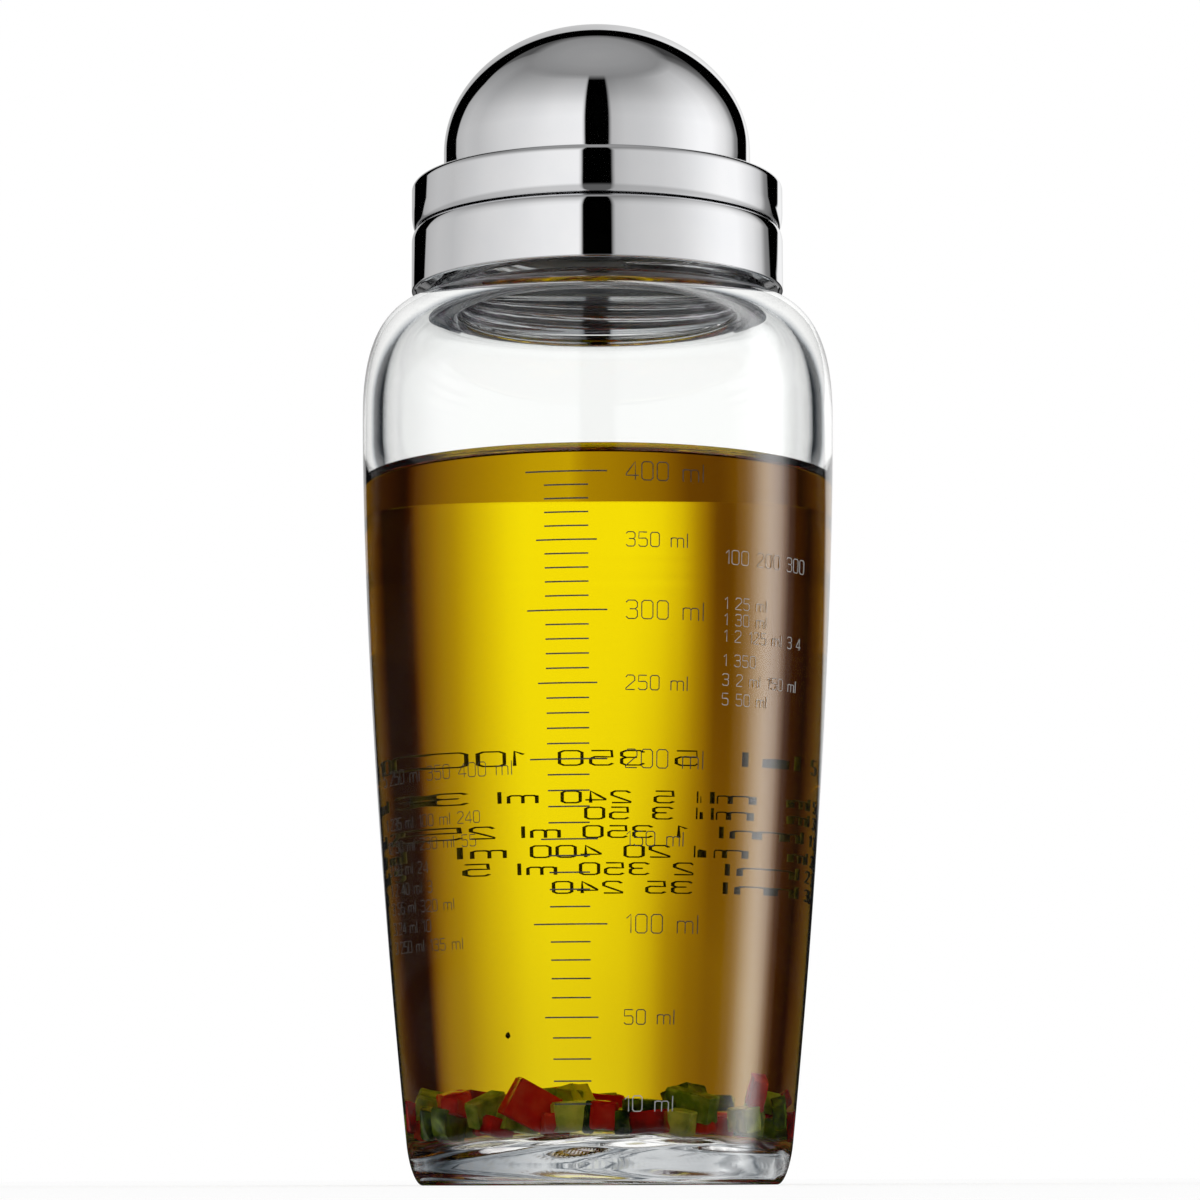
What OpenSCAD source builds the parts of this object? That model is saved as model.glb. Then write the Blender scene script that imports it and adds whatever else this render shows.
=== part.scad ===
// Salad dressing shaker bottle: a tapered glass flask with a printed scale, filled with
// oil and diced pepper, and a two-part steel lid. The lid's collar screws onto the neck
// and carries the pouring insert; its domed cap pulls straight off the collar.
// The origin is the middle of the foot, and +Z points up through the lid.

/* [Glass body] */
// Outer radius of the glass at its widest place
body_r = 40.56; // [39:0.01:43]
// Height of the widest place, where the shoulder begins
widest_z = 130.56; // [124:0.01:136]
// Outer radius of the glass low down at the heel
heel_r = 32.79; // [32:0.01:35]
// Height at which the heel radius is measured
heel_z = 8; // [6:0.5:11]
// How late the wall swells on its way up, where 1 is a straight cone
taper_power = 1.619; // [1.3:0.001:2]
// Height of the rounded shoulder
shoulder_h = 21.34; // [19:0.01:25]
// How full the shoulder is, where 2 is a plain ellipse
shoulder_power = 2.585; // [2.1:0.001:3]
// Width that the rounded edge takes off the foot
foot_edge_w = 1.97; // [1:0.01:3]
// Height of the foot's rounded edge
foot_edge_h = 7; // [4:0.1:8]
// Radius of the hollow under the base
punt_r = 24.5; // [20:0.5:26.5]
// Depth of the hollow under the base
punt_h = 1.8; // [1:0.1:2.5]

/* [Glass walls] */
// Thickness of the side wall
wall = 2.5; // [2.2:0.1:3]
// Extra thickness of the side wall where it meets the floor
heel_wall = 1.7; // [1:0.1:2.6]
// Height over which that extra thickness fades out
heel_wall_h = 34; // [25:1:45]
// Height of the floor inside
floor_z = 8.7; // [7.5:0.1:11]
// Radius of the corner between the floor and the wall
floor_corner_r = 6; // [4.5:0.5:7.5]

/* [Neck] */
// Outer radius of the neck under its thread
neck_r = 27.2; // [26.5:0.1:28.2]
// Thickness of the neck wall
neck_wall = 3; // [2.6:0.1:3.4]
// Height of the neck above the shoulder
neck_h = 11.3; // [10.5:0.1:13]
// Rounding of the rim's two edges
rim_edge = 1.1; // [0.6:0.1:1.25]
// Rounding where the neck opens into the shoulder
neck_edge = 1.6; // [1:0.1:2.2]

/* [Thread] */
// Distance between one ridge and the next, with two starts
thread_pitch = 3.2; // [3:0.05:3.6]
// Height of a ridge across the wall
thread_depth = 1.4; // [1.2:0.05:1.5]
// Width of a glass ridge at its foot
male_foot_w = 1.7; // [1.4:0.05:1.8]
// Width of a glass ridge at its crest
male_crest_w = 0.7; // [0.5:0.05:0.9]
// Width of a steel ridge at its foot
female_foot_w = 1.3; // [1:0.05:1.4]
// Width of a steel ridge at its crest
female_crest_w = 0.6; // [0.4:0.05:0.7]
// Clearance across the wall between a crest and the surface that it faces
thread_radial_gap = 0.4; // [0.3:0.05:0.5]
// Clearance along the axis between the two flanks that carry the load
thread_flank_gap = 0.15; // [0.1:0.05:0.3]
// Height above the shoulder at which the ridges begin
thread_start = 1.7; // [1.5:0.1:2.5]
// Plain height left between the end of the ridges and the rim
thread_end = 3; // [2.5:0.1:4]

/* [Lid outside] */
// How far the lid stands out beyond the neck
lid_overhang = 5; // [4.8:0.1:6]
// Gap between the shoulder and the collar's lower edge
collar_gap = 1.3; // [0.8:0.1:2]
// How far the collar's top stands above the rim
collar_over_rim = 0.9; // [0.7:0.1:1.3]
// How far the steel ring inside stays back from the collar's lower edge
ring_back = 0.5; // [0.3:0.1:1]
// Width of the rounding round the collar's top
collar_round_w = 1.1; // [0.8:0.1:1.4]
// Height of the rounding round the collar's top
collar_round_h = 2.3; // [1.5:0.1:3]
// Gap between the collar's top and the cap's lower edge
groove_gap = 0.25; // [0.2:0.05:0.5]
// Height of the cap's band, from its lower edge to its ledge
band_h = 8.15; // [7.7:0.05:10]
// Width that the rolled lower edge of the band turns in
band_roll_w = 0.7; // [0.4:0.1:0.9]
// Height of the rolled lower edge of the band
band_roll_h = 3; // [1.5:0.1:3.5]
// Radius of the edge round the cap's ledge
ledge_edge = 1.4; // [0.9:0.1:2]
// Width of the ledge between the band and the dome
ledge_w = 5.55; // [4.6:0.05:6.5]
// Height of the straight wall under the dome
dome_wall_h = 5.5; // [4.5:0.1:7]
// Rise of the dome over that wall
dome_h = 22.2; // [20.5:0.1:25]
// Thickness of the lid's steel sheet
sheet = 0.7; // [0.5:0.05:0.8]

/* [Lid inside] */
// Thickness of the ring that seals on the rim
gasket_t = 1.5; // [1.2:0.1:1.8]
// Thickness of the steel lip that presses on that ring
lip_t = 1.5; // [1.2:0.1:1.8]
// How far that sealing ring stays back from the thread's root
gasket_back = 0.3; // [0.1:0.1:0.6]
// How far the lip's hole stays back from the neck's bore
lip_back = 0.6; // [0.3:0.1:1]
// Thickness of the collar's upright ring outside the thread's root
upstand_t = 0.9; // [0.7:0.1:1]
// How far the upright ring reaches in under the thread's root
upstand_in = 1.2; // [0.8:0.1:1.5]
// Radius of the round section of the ring that grips the cap
grip_ring_r = 0.75; // [0.6:0.05:0.8]
// Thickness of the pouring insert's disc
insert_t = 1.5; // [1.2:0.1:2]
// Radius of the spout's bore
spout_bore_r = 8.5; // [7:0.1:10]
// Thickness of the spout's wall
spout_wall = 1.5; // [1.2:0.1:2]
// Height of the spout above the insert's disc
spout_h = 13.3; // [11:0.1:14]
// How far the spout's lip turns out
spout_lip_w = 1.5; // [1:0.1:2]
// Thickness of the seal that closes the spout
seal_t = 0.95; // [0.8:0.05:1.3]
// Width of that seal across its ring
seal_w = 5; // [4:0.1:6]
// Thickness of the cap's plastic liner
liner_t = 1.5; // [1.2:0.1:1.7]
// Height from the middle of the cap's rolled edge to the liner's skirt
skirt_up = 0.4; // [0.3:0.1:1]
// Space between the liner's cup and the dome's wall
liner_dome_gap = 3.15; // [2.6:0.05:4.5]
// Clearance under the liner's web, and round the collar's upright ring
cap_run_gap = 0.3; // [0.2:0.05:0.4]
// Clearance between pieces pressed or laid together
seat_gap = 0.05; // [0.03:0.01:0.1]
// Clearance between a shell and the piece inside it
fit_gap = 0.1; // [0.05:0.01:0.15]

/* [Contents] */
// Volume of oil with what lies in it, in millilitres
fill_ml = 417; // [380:1:440]
// Thickness of the diced pepper
dice_t = 4.3; // [3.5:0.1:4.8]
// Length of a dice's side
dice_w = 4.7; // [4:0.1:4.9]
// Free space between one dice and the next
dice_space = 0.4; // [0.2:0.1:1]
// How far the outer ring of dice stands out over the floor's rounded corner
dice_out = 1.9; // [1.5:0.1:2.2]
// Length of the herb fleck that floats in the oil
fleck_l = 1.5; // [1:0.1:2.5]
// Height at which the fleck floats
fleck_z = 25; // [22:1:60]

/* [Printed scale] */
// Millilitres between two lines
scale_step = 10; // [10, 20, 50]
// Millilitres at the top line
scale_top = 400; // [300:50:400]
// Angle from the front to the middle of the lines, to the left when negative
scale_turn = -7.45; // [-30:0.05:30]
// Half the angle that a 100 ml line spans
long_line = 9.6; // [8:0.1:12]
// Half the angle that a 50 ml line spans
medium_line = 7.2; // [6:0.1:8]
// Half the angle that a 10 ml line spans
short_line = 5.2; // [3:0.1:6]
// Thickness of a printed line
line_w = 0.24; // [0.2:0.01:0.4]
// How far the print stands out from the glass
line_t = 0.08; // [0.05:0.01:0.15]

/* [Hidden] */
$fn = 96;

// Steps along each curved stretch of an outline
wall_steps = 18;
curve_steps = 14;
edge_steps = 5;
// Steps of the fill table, and the facets of one thread turn
fill_steps = 120;
turn_facets = 40;

// Heights up the bottle
shoulder_z = widest_z + shoulder_h;
rim_z = shoulder_z + neck_h;

// The neck and the two halves of its thread
starts = 2;
lead = starts * thread_pitch;
bore_r = neck_r - neck_wall;
male_crest_r = neck_r + thread_depth;
female_root_r = male_crest_r + thread_radial_gap;
female_crest_r = neck_r + thread_radial_gap;
ridge_sink = 0.5;
// Half the width of a glass ridge at the steel ridge's crest
male_half = (male_foot_w - (male_foot_w - male_crest_w) * thread_radial_gap / thread_depth) / 2;
thread_drop = male_half + female_crest_w / 2 + thread_flank_gap;
male_from = shoulder_z + thread_start;
male_to = rim_z - thread_end;
thread_edge = 0.25;

// The collar
collar_r = neck_r + lid_overhang;
collar_z = shoulder_z + collar_gap;
collar_top = rim_z + collar_over_rim;
thread_ring_r = collar_r - sheet - fit_gap;
thread_ring_z = collar_z + ring_back;
thread_ring_top = collar_top - sheet - seat_gap;
female_from = thread_ring_z + female_foot_w / 2 + thread_edge;
female_to = male_to;
gasket_z = rim_z + seat_gap;
gasket_r = female_root_r - gasket_back;
lip_z = gasket_z + gasket_t + seat_gap;
lip_top = lip_z + lip_t;
upstand_r = female_root_r + upstand_t;
insert_seat_r = female_root_r - upstand_in;

// The cap, from its lower edge up
cap_z = collar_top + groove_gap;
ledge_z = cap_z + band_h;
web_top = ledge_z - sheet - fit_gap;
web_z = web_top - liner_t;
upstand_top = web_z - cap_run_gap;
dome_r = collar_r - ledge_w;
dome_z = ledge_z + dome_wall_h;
liner_r = collar_r - sheet - fit_gap;
liner_bore_r = upstand_r + cap_run_gap;
liner_skirt_z = cap_z + band_roll_h / 2 + skirt_up;
cup_r = dome_r - sheet - liner_dome_gap;
inner_corner = 0.5;

// The ring that grips the cap sits half way up the free part of the upright ring
grip_z = (lip_top + upstand_top) / 2;
grip_r = upstand_r + cap_run_gap - seat_gap - grip_ring_r;
groove_r = grip_r - grip_ring_r - seat_gap;
groove_half = grip_ring_r + seat_gap;

// The pouring insert and the seal above it
insert_z = lip_top + seat_gap;
insert_top = insert_z + insert_t;
spout_r = spout_bore_r + spout_wall;
spout_top = insert_top + spout_h;
seal_z = spout_top + seat_gap;
cup_z = seal_z + seal_t;
seal_r = spout_r - spout_wall / 2;

// The contents
oil_gap = 0.03;
dice_gap = 0.06;
dice_cut = 0.05;
fleck_r = 21;
fleck_turn = -128;

// Radius of the body's outside, without the foot's rounded edge
function taper_r(z) =
    body_r - (body_r - heel_r) * pow(max(0, (widest_z - z) / (widest_z - heel_z)), taper_power);

// Width taken off the foot by its rounded edge
function foot_cut(z) =
    z < foot_edge_h ? foot_edge_w * (1 - sqrt(1 - pow(1 - z / foot_edge_h, 2))) : 0;

function outer_r(z) = taper_r(z) - foot_cut(z);

// Extra thickness of the wall near the floor
function heel_extra(z) =
    z < floor_z + heel_wall_h ? heel_wall * (1 + cos(180 * (z - floor_z) / heel_wall_h)) / 2 : 0;

// Width that the rounded floor corner takes off the cavity
function corner_cut(z) =
    let (up = z - floor_z)
    up < floor_corner_r
        ? floor_corner_r - sqrt(max(0, pow(floor_corner_r, 2) - pow(floor_corner_r - up, 2)))
        : 0;

function cavity_r(z) = taper_r(z) - wall - heel_extra(z) - corner_cut(z);

// Radius of the flat part of the floor, and the floor's height at a radius
floor_r = cavity_r(floor_z);
function floor_at(r) =
    r <= floor_r ? floor_z
                 : floor_z + floor_corner_r
                   - sqrt(max(0, pow(floor_corner_r, 2) - pow(r - floor_r, 2)));

// Volume of the cavity up to each height, as pairs of cubic millimetres and height
fill_dz = (widest_z - floor_z) / fill_steps;
function slice_volume(z, r0, r1) = PI * fill_dz * (r0 * r0 + r0 * r1 + r1 * r1) / 3;
fill_table = [
    for (i = 0, z = floor_z, v = 0; i <= fill_steps;
         v = v + slice_volume(z, cavity_r(z), cavity_r(z + fill_dz)), z = z + fill_dz, i = i + 1)
        [v, z]
];

// Height of the surface when so many millilitres are in the bottle
function level(ml) = lookup(ml * 1000, fill_table);
oil_z = level(fill_ml);

// A quarter of a superellipse from its side, at radius r1, to its top, at radius r0
function super_quarter(r0, r1, z0, h, power, steps) = [
    for (i = [0:steps])
        let (t = 90 * i / steps)
        [r0 + (r1 - r0) * pow(max(0, cos(t)), 2 / power), z0 + h * pow(max(0, sin(t)), 2 / power)]
];

// An arc of an outline: centre, two half axes, first and last angle
function arc(cr, cz, a, b, from, to, steps = edge_steps) = [
    for (i = [0:steps])
        let (t = from + (to - from) * i / steps)
        [cr + a * cos(t), cz + b * sin(t)]
];

function reversed(points) = [for (i = [len(points) - 1:-1:0]) points[i]];

// Outline of the cavity from the middle of the floor up to a height in the side wall
function cavity_side(top) = concat(
    [[0, floor_z]],
    [for (i = [0:edge_steps * 2])
        let (t = 90 * i / (edge_steps * 2), z = floor_z + floor_corner_r * (1 - cos(t)))
        [cavity_r(z), z]],
    [for (i = [1:wall_steps])
        let (z = floor_z + floor_corner_r + (top - floor_z - floor_corner_r) * i / wall_steps)
        [cavity_r(z), z]]
);

// Outline of the glass, round from the middle of the base
glass_outline = concat(
    [for (i = [0:edge_steps]) let (r = punt_r * i / edge_steps)
        [r, punt_h * (1 - pow(r / punt_r, 2))]],
    [for (i = [0:edge_steps * 2])
        let (t = 90 * i / (edge_steps * 2), z = foot_edge_h * (1 - cos(t)))
        [outer_r(z), z]],
    [for (i = [1:wall_steps - 1])
        let (z = foot_edge_h + (widest_z - foot_edge_h) * i / wall_steps)
        [outer_r(z), z]],
    super_quarter(neck_r, body_r, widest_z, shoulder_h, shoulder_power, curve_steps),
    arc(neck_r - rim_edge, rim_z - rim_edge, rim_edge, rim_edge, 0, 90),
    arc(bore_r + rim_edge, rim_z - rim_edge, rim_edge, rim_edge, 90, 180),
    arc(bore_r + neck_edge, shoulder_z - wall + neck_edge, neck_edge, neck_edge, 180, 270),
    reversed(super_quarter(bore_r + neck_edge, body_r - wall, widest_z, shoulder_h - wall,
                           shoulder_power, curve_steps)),
    reversed(cavity_side(widest_z - 1))
);

// One ridge of a thread, tapered in height at both ends. A crest beyond the foot makes a
// ridge that stands out, and a crest inside it makes one that stands in.
module thread_ridge(foot_r, crest_r, foot_w, crest_w, from, to, drop) {
    out = sign(crest_r - foot_r);
    sunk_r = foot_r - out * ridge_sink;
    steps = ceil((to - from) / lead * turn_facets);
    fade = 6;
    sections = [
        for (i = [0:steps])
            let (
                z = from + (to - from) * i / steps,
                a = 360 * (z + drop) / lead,
                k = min(1, 0.1 + i / fade, 0.1 + (steps - i) / fade),
                top_r = foot_r + (crest_r - foot_r) * k
            )
            each [
                [sunk_r * cos(a), sunk_r * sin(a), z - foot_w / 2],
                [top_r * cos(a), top_r * sin(a), z - crest_w / 2],
                [top_r * cos(a), top_r * sin(a), z + crest_w / 2],
                [sunk_r * cos(a), sunk_r * sin(a), z + foot_w / 2]
            ]
    ];
    sides = [
        for (i = [0:steps - 1], j = [0:3])
            let (p = 4 * i + j, q = 4 * i + (j + 1) % 4)
            each [[p, q + 4, p + 4], [p, q, q + 4]]
    ];
    ends = [[3, 2, 1, 0], [for (j = [0:3]) 4 * steps + j]];
    faces = concat(sides, ends);
    polyhedron(sections, out > 0 ? faces : [for (f = faces) reversed(f)], convexity = 4);
}

// Half a turn between the two starts
module each_start() {
    for (s = [0:starts - 1])
        rotate([0, 0, 360 * s / starts]) children();
}

// A flat ring with plain edges
module flat_ring(r_in, r_out, z, t) {
    rotate_extrude() translate([r_in, z]) square([r_out - r_in, t]);
}

module glass_bottle() {
    color([0.86, 0.92, 0.9, 0.4]) {
        rotate_extrude() polygon(glass_outline);
        each_start()
            thread_ridge(neck_r, male_crest_r, male_foot_w, male_crest_w, male_from, male_to, 0);
    }
}

// A line of the scale: a thin strip that lies on the glass
module scale_line(z, half_angle) {
    foot = [for (s = [-1, 1]) let (h = z + s * line_w / 2) [outer_r(h) + oil_gap, h]];
    rotate([0, 0, -90 + scale_turn - half_angle])
        rotate_extrude(angle = 2 * half_angle)
            polygon([foot[0], [foot[0].x + line_t, foot[0].y],
                     [foot[1].x + line_t, foot[1].y], foot[1]]);
}

module scale_lines() {
    color([0.25, 0.25, 0.25])
        for (ml = [scale_step:scale_step:scale_top])
            scale_line(level(ml), ml % 100 == 0 ? long_line : ml % 50 == 0 ? medium_line : short_line);
}

// One dice of pepper, standing on its lower face, made larger all round by grow
module one_dice(w, grow) {
    translate([-w / 2 - grow, -w / 2 - grow, -grow])
        cube([w + 2 * grow, w + 2 * grow, dice_t + 2 * grow]);
}

// Radii of the rings in which the dice lie, how many each holds, and on which layer
outer_ring_r = floor_r + dice_out;
dice_reach = dice_w / sqrt(2);
// How far a leaning dice of the outer ring rises from its inner to its outer edge
outer_corner_r = norm([outer_ring_r + dice_w / 2, dice_w / 2]);
dice_lean = atan((floor_at(outer_corner_r) - floor_z) / dice_w);
ring_step = 2 * dice_reach + dice_space;
second_r = outer_ring_r - dice_w / 2 - dice_t * sin(dice_lean) - dice_reach - dice_space / 2;
ring_radii = [second_r, second_r - ring_step, 0];
function ring_count(r) = r <= 0 ? 1 : floor(180 / asin(min(1, ring_step / (2 * r))));
outer_half = dice_w / 2 + 0.75 * dice_space;
outer_count = floor(180 / atan(outer_half / (outer_ring_r - dice_w / 2 - dice_t / 2)));

// Which dice are red, by their place in a ring
function is_red(ring, i) = (3 * i + 5 * ring) % 7 < 3;

// All dice of one colour, the outer ring leaning on the rounded corner of the floor
module dice(red, grow = 0) {
    for (i = [0:outer_count - 1])
        if (is_red(0, i) == red)
            rotate([0, 0, 360 * i / outer_count])
                translate([outer_ring_r - dice_w / 2, 0, floor_z + dice_gap])
                    rotate([0, -dice_lean, 0])
                        translate([dice_w / 2, 0, 0])
                            one_dice(dice_w, grow);
    for (k = [0:len(ring_radii) - 1], i = [0:ring_count(ring_radii[k]) - 1])
        if (is_red(k + 1, i) == red)
            rotate([0, 0, 360 * (i + 0.37 * k) / ring_count(ring_radii[k])])
                translate([ring_radii[k], 0, floor_z + dice_gap])
                    rotate([0, 0, 47 * i + 19 * k])
                        one_dice(dice_w, grow);
    // A few more lie flat on the first layer
    for (i = [0:6])
        if ((i % 2 == 0) == red)
            rotate([0, 0, 360 * (i + 0.3) / 7])
                translate([second_r - (i % 3), 0, floor_z + 2 * dice_gap + dice_t])
                    rotate([0, 0, 31 * i])
                        one_dice(dice_w, grow);
}

module red_pepper_dice() {
    color([0.72, 0.1, 0.06]) dice(true);
}

module green_pepper_dice() {
    color([0.28, 0.4, 0.08]) dice(false);
}

// The fleck floats close behind the glass at the front left
module fleck(grow = 0) {
    rotate([0, 0, fleck_turn])
        translate([fleck_r, 0, fleck_z])
            rotate([20, 10, 0])
                cube([fleck_l / 2 + 2 * grow, fleck_l + 2 * grow, fleck_l + 2 * grow], center = true);
}

module herb_fleck() {
    color([0.1, 0.09, 0.03]) fleck();
}

module dressing_oil() {
    outline = cavity_side(oil_z);
    color([0.85, 0.62, 0.02, 0.7])
        difference() {
            rotate_extrude()
                polygon(concat(
                    [[0, floor_z + oil_gap]],
                    [for (p = outline) if (p.x > 0) [p.x - oil_gap, p.y + oil_gap]],
                    [[0, oil_z + oil_gap]]
                ));
            dice(true, dice_cut);
            dice(false, dice_cut);
            fleck(dice_cut);
        }
}

module neck_gasket() {
    color([0.93, 0.93, 0.92]) flat_ring(bore_r, gasket_r, gasket_z, gasket_t);
}

// The polished sheet round the collar, with a lip turned in over the thread ring
module collar_shell() {
    lip_r = upstand_r + fit_gap;
    color([0.8, 0.8, 0.82])
        rotate_extrude()
            polygon(concat(
                [[collar_r - sheet, collar_z], [collar_r - sheet / 2, collar_z - sheet / 4],
                 [collar_r, collar_z + sheet / 2]],
                arc(collar_r - collar_round_w, collar_top - collar_round_h,
                    collar_round_w, collar_round_h, 0, 90, 8),
                [[lip_r, collar_top], [lip_r, collar_top - sheet],
                 [collar_r - sheet, collar_top - sheet]]
            ));
}

// The steel ring inside the collar: thread, lip over the gasket and upright ring for the cap
module thread_ring() {
    chamfer = 0.6;
    color([0.62, 0.62, 0.63]) {
        rotate_extrude()
            polygon([
                [female_root_r, thread_ring_z], [thread_ring_r, thread_ring_z],
                [thread_ring_r, thread_ring_top - collar_round_h],
                [thread_ring_r - collar_round_w, thread_ring_top],
                [upstand_r, thread_ring_top],
                [upstand_r, grip_z - groove_half], [groove_r, grip_z - groove_half],
                [groove_r, grip_z + groove_half], [upstand_r, grip_z + groove_half],
                [upstand_r, upstand_top - chamfer], [upstand_r - chamfer, upstand_top],
                [insert_seat_r, upstand_top], [insert_seat_r, lip_top],
                [bore_r + lip_back, lip_top], [bore_r + lip_back, lip_z],
                [female_root_r, lip_z]
            ]);
        each_start()
            thread_ridge(female_root_r, female_crest_r, female_foot_w, female_crest_w,
                         female_from, female_to, thread_drop);
    }
}

// The disc that closes the neck but for its spout
module pour_insert() {
    color([0.2, 0.2, 0.21])
        rotate_extrude()
            polygon(concat(
                [[spout_bore_r, insert_z], [insert_seat_r - fit_gap, insert_z],
                 [insert_seat_r - fit_gap, insert_top]],
                arc(spout_r + spout_lip_w, insert_top + spout_lip_w,
                    spout_lip_w, spout_lip_w, 270, 180),
                [[spout_r, spout_top - 2 * spout_lip_w],
                 [spout_r + spout_lip_w, spout_top - spout_lip_w / 2],
                 [spout_r + spout_lip_w, spout_top], [spout_bore_r, spout_top]]
            ));
}

// The ring that grips the cap, in its groove round the collar's upright ring
module cap_grip_ring() {
    color([0.9, 0.9, 0.89])
        rotate_extrude() translate([grip_r, grip_z]) circle(r = grip_ring_r);
}

// The polished sheet of the cap: rolled lower edge, band, ledge, and dome
module cap_shell() {
    in_r = collar_r - sheet;
    in_edge = ledge_edge - sheet;
    color([0.8, 0.8, 0.82])
        rotate_extrude()
            polygon(concat(
                arc(collar_r - band_roll_w, cap_z + band_roll_h, band_roll_w, band_roll_h, -90, 0, 8),
                arc(collar_r - ledge_edge, ledge_z - ledge_edge, ledge_edge, ledge_edge, 0, 90, 8),
                arc(dome_r + inner_corner, ledge_z + inner_corner, inner_corner, inner_corner, 270, 180),
                arc(0, dome_z, dome_r, dome_h, 0, 90, 24),
                arc(0, dome_z, dome_r - sheet, dome_h - sheet, 90, 0, 24),
                [[dome_r - sheet, ledge_z - sheet]],
                arc(in_r - in_edge, ledge_z - ledge_edge, in_edge, in_edge, 90, 0, 4),
                arc(in_r - band_roll_w, cap_z + band_roll_h, band_roll_w, band_roll_h, 0, -90, 8)
            ));
}

// The plastic liner of the cap: a skirt round the collar's upright ring, a web and a cup
module cap_liner() {
    cup_top = cup_z + liner_t;
    color([0.88, 0.88, 0.86])
        rotate_extrude()
            polygon([
                [liner_bore_r, liner_skirt_z], [liner_r, liner_skirt_z],
                [liner_r, web_top - ledge_edge], [liner_r - ledge_edge, web_top],
                [cup_r, web_top], [cup_r, cup_top - inner_corner],
                [cup_r - inner_corner, cup_top], [0, cup_top], [0, cup_z],
                [cup_r - liner_t, cup_z], [cup_r - liner_t, web_z], [liner_bore_r, web_z]
            ]);
}

// The ring under the liner's cup that closes the spout
module spout_seal() {
    color([0.9, 0.9, 0.89]) flat_ring(seal_r - seal_w / 2, seal_r + seal_w / 2, seal_z, seal_t);
}

glass_bottle();
scale_lines();
dressing_oil();
red_pepper_dice();
green_pepper_dice();
herb_fleck();
neck_gasket();
collar_shell();
thread_ring();
pour_insert();
cap_grip_ring();
cap_shell();
cap_liner();
spout_seal();
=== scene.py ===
# %% [markdown]
# # A salad dressing shaker in glass and polished steel
#
# The real object is a tapered glass bottle filled with golden oil, with diced pepper on its floor
# and a two-part steel lid. Glass, oil and polished steel have hardly any colour of their own: what
# the eye sees is the studio, bent by the glass, tinted by the oil and mirrored by the steel. So
# this lesson spends its effort on two things, exact shapes and a well planned studio.
#
# The CAD model comes first, because every piece below takes its place from it.

# %% Load the CAD model
import math
import random

import bpy
from mathutils import Euler, Matrix, Vector


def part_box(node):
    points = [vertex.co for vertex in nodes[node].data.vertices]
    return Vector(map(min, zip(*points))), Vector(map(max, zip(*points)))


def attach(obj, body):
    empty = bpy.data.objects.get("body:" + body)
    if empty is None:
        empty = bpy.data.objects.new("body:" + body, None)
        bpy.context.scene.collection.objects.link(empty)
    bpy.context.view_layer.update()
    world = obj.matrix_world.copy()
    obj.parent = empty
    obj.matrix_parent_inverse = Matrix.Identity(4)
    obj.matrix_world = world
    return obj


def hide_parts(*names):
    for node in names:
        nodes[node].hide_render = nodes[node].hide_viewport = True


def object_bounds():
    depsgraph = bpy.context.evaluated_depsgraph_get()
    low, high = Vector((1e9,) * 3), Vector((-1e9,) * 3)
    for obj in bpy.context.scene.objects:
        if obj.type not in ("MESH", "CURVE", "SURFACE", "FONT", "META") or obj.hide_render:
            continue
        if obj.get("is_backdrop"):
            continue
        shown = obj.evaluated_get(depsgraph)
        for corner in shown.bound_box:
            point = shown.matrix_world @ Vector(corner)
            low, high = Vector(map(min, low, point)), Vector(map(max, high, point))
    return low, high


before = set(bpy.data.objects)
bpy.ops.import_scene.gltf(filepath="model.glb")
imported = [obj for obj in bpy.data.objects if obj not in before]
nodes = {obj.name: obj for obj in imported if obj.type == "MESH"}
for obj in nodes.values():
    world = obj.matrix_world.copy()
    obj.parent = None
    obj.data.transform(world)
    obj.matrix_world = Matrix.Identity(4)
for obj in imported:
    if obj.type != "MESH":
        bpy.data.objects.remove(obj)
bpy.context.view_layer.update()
print("nodes:", ", ".join(sorted(nodes)))

# %% [markdown]
# ## Spinning an outline
#
# A bottle, a lid and a sealing ring are all round, so each is one outline turned about the axis. It
# could be a stack of cylinders, but a spun outline has its roundings in it and needs no joints.
# The outline is drawn as by hand: one point, extruded again and again, then spun by a full turn.
# Steel and glass show every flat facet, so the turn has many steps.

# %% Helpers that spin an outline
MM = 0.001
TURN = 192


def deselect():
    """Leave edit mode and select nothing, so that the next operator acts on the new piece alone."""
    if bpy.context.mode != "OBJECT":
        bpy.ops.object.mode_set(mode="OBJECT")
    bpy.ops.object.select_all(action="DESELECT")


def select_only(piece):
    deselect()
    piece.select_set(True)
    bpy.context.view_layer.objects.active = piece


def lathe(name, outline, steps=TURN, angle=35):
    """Extrude a point along an outline of (radius, height) in millimetres, then spin it."""
    deselect()
    bpy.ops.mesh.primitive_plane_add(size=MM)
    piece = bpy.context.object
    piece.name = piece.data.name = name
    bpy.ops.object.mode_set(mode="EDIT")
    bpy.ops.mesh.select_all(action="SELECT")
    bpy.ops.mesh.merge(type="CENTER")
    bpy.ops.transform.translate(value=(outline[0][0] * MM, 0, outline[0][1] * MM))
    for (r0, z0), (r1, z1) in zip(outline, outline[1:]):
        step = ((r1 - r0) * MM, 0, (z1 - z0) * MM)
        bpy.ops.mesh.extrude_region_move(TRANSFORM_OT_translate={"value": step})
    bpy.ops.mesh.select_all(action="SELECT")
    bpy.ops.mesh.spin(steps=steps, angle=2 * math.pi, center=(0, 0, 0), axis=(0, 0, 1))
    bpy.ops.mesh.select_all(action="SELECT")
    bpy.ops.mesh.remove_doubles(threshold=2e-6)
    bpy.ops.mesh.normals_make_consistent(inside=False)
    bpy.ops.object.mode_set(mode="OBJECT")
    bpy.ops.object.shade_smooth_by_angle(angle=math.radians(angle))
    print(name, "has", len(piece.data.polygons), "faces")
    return piece


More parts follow.
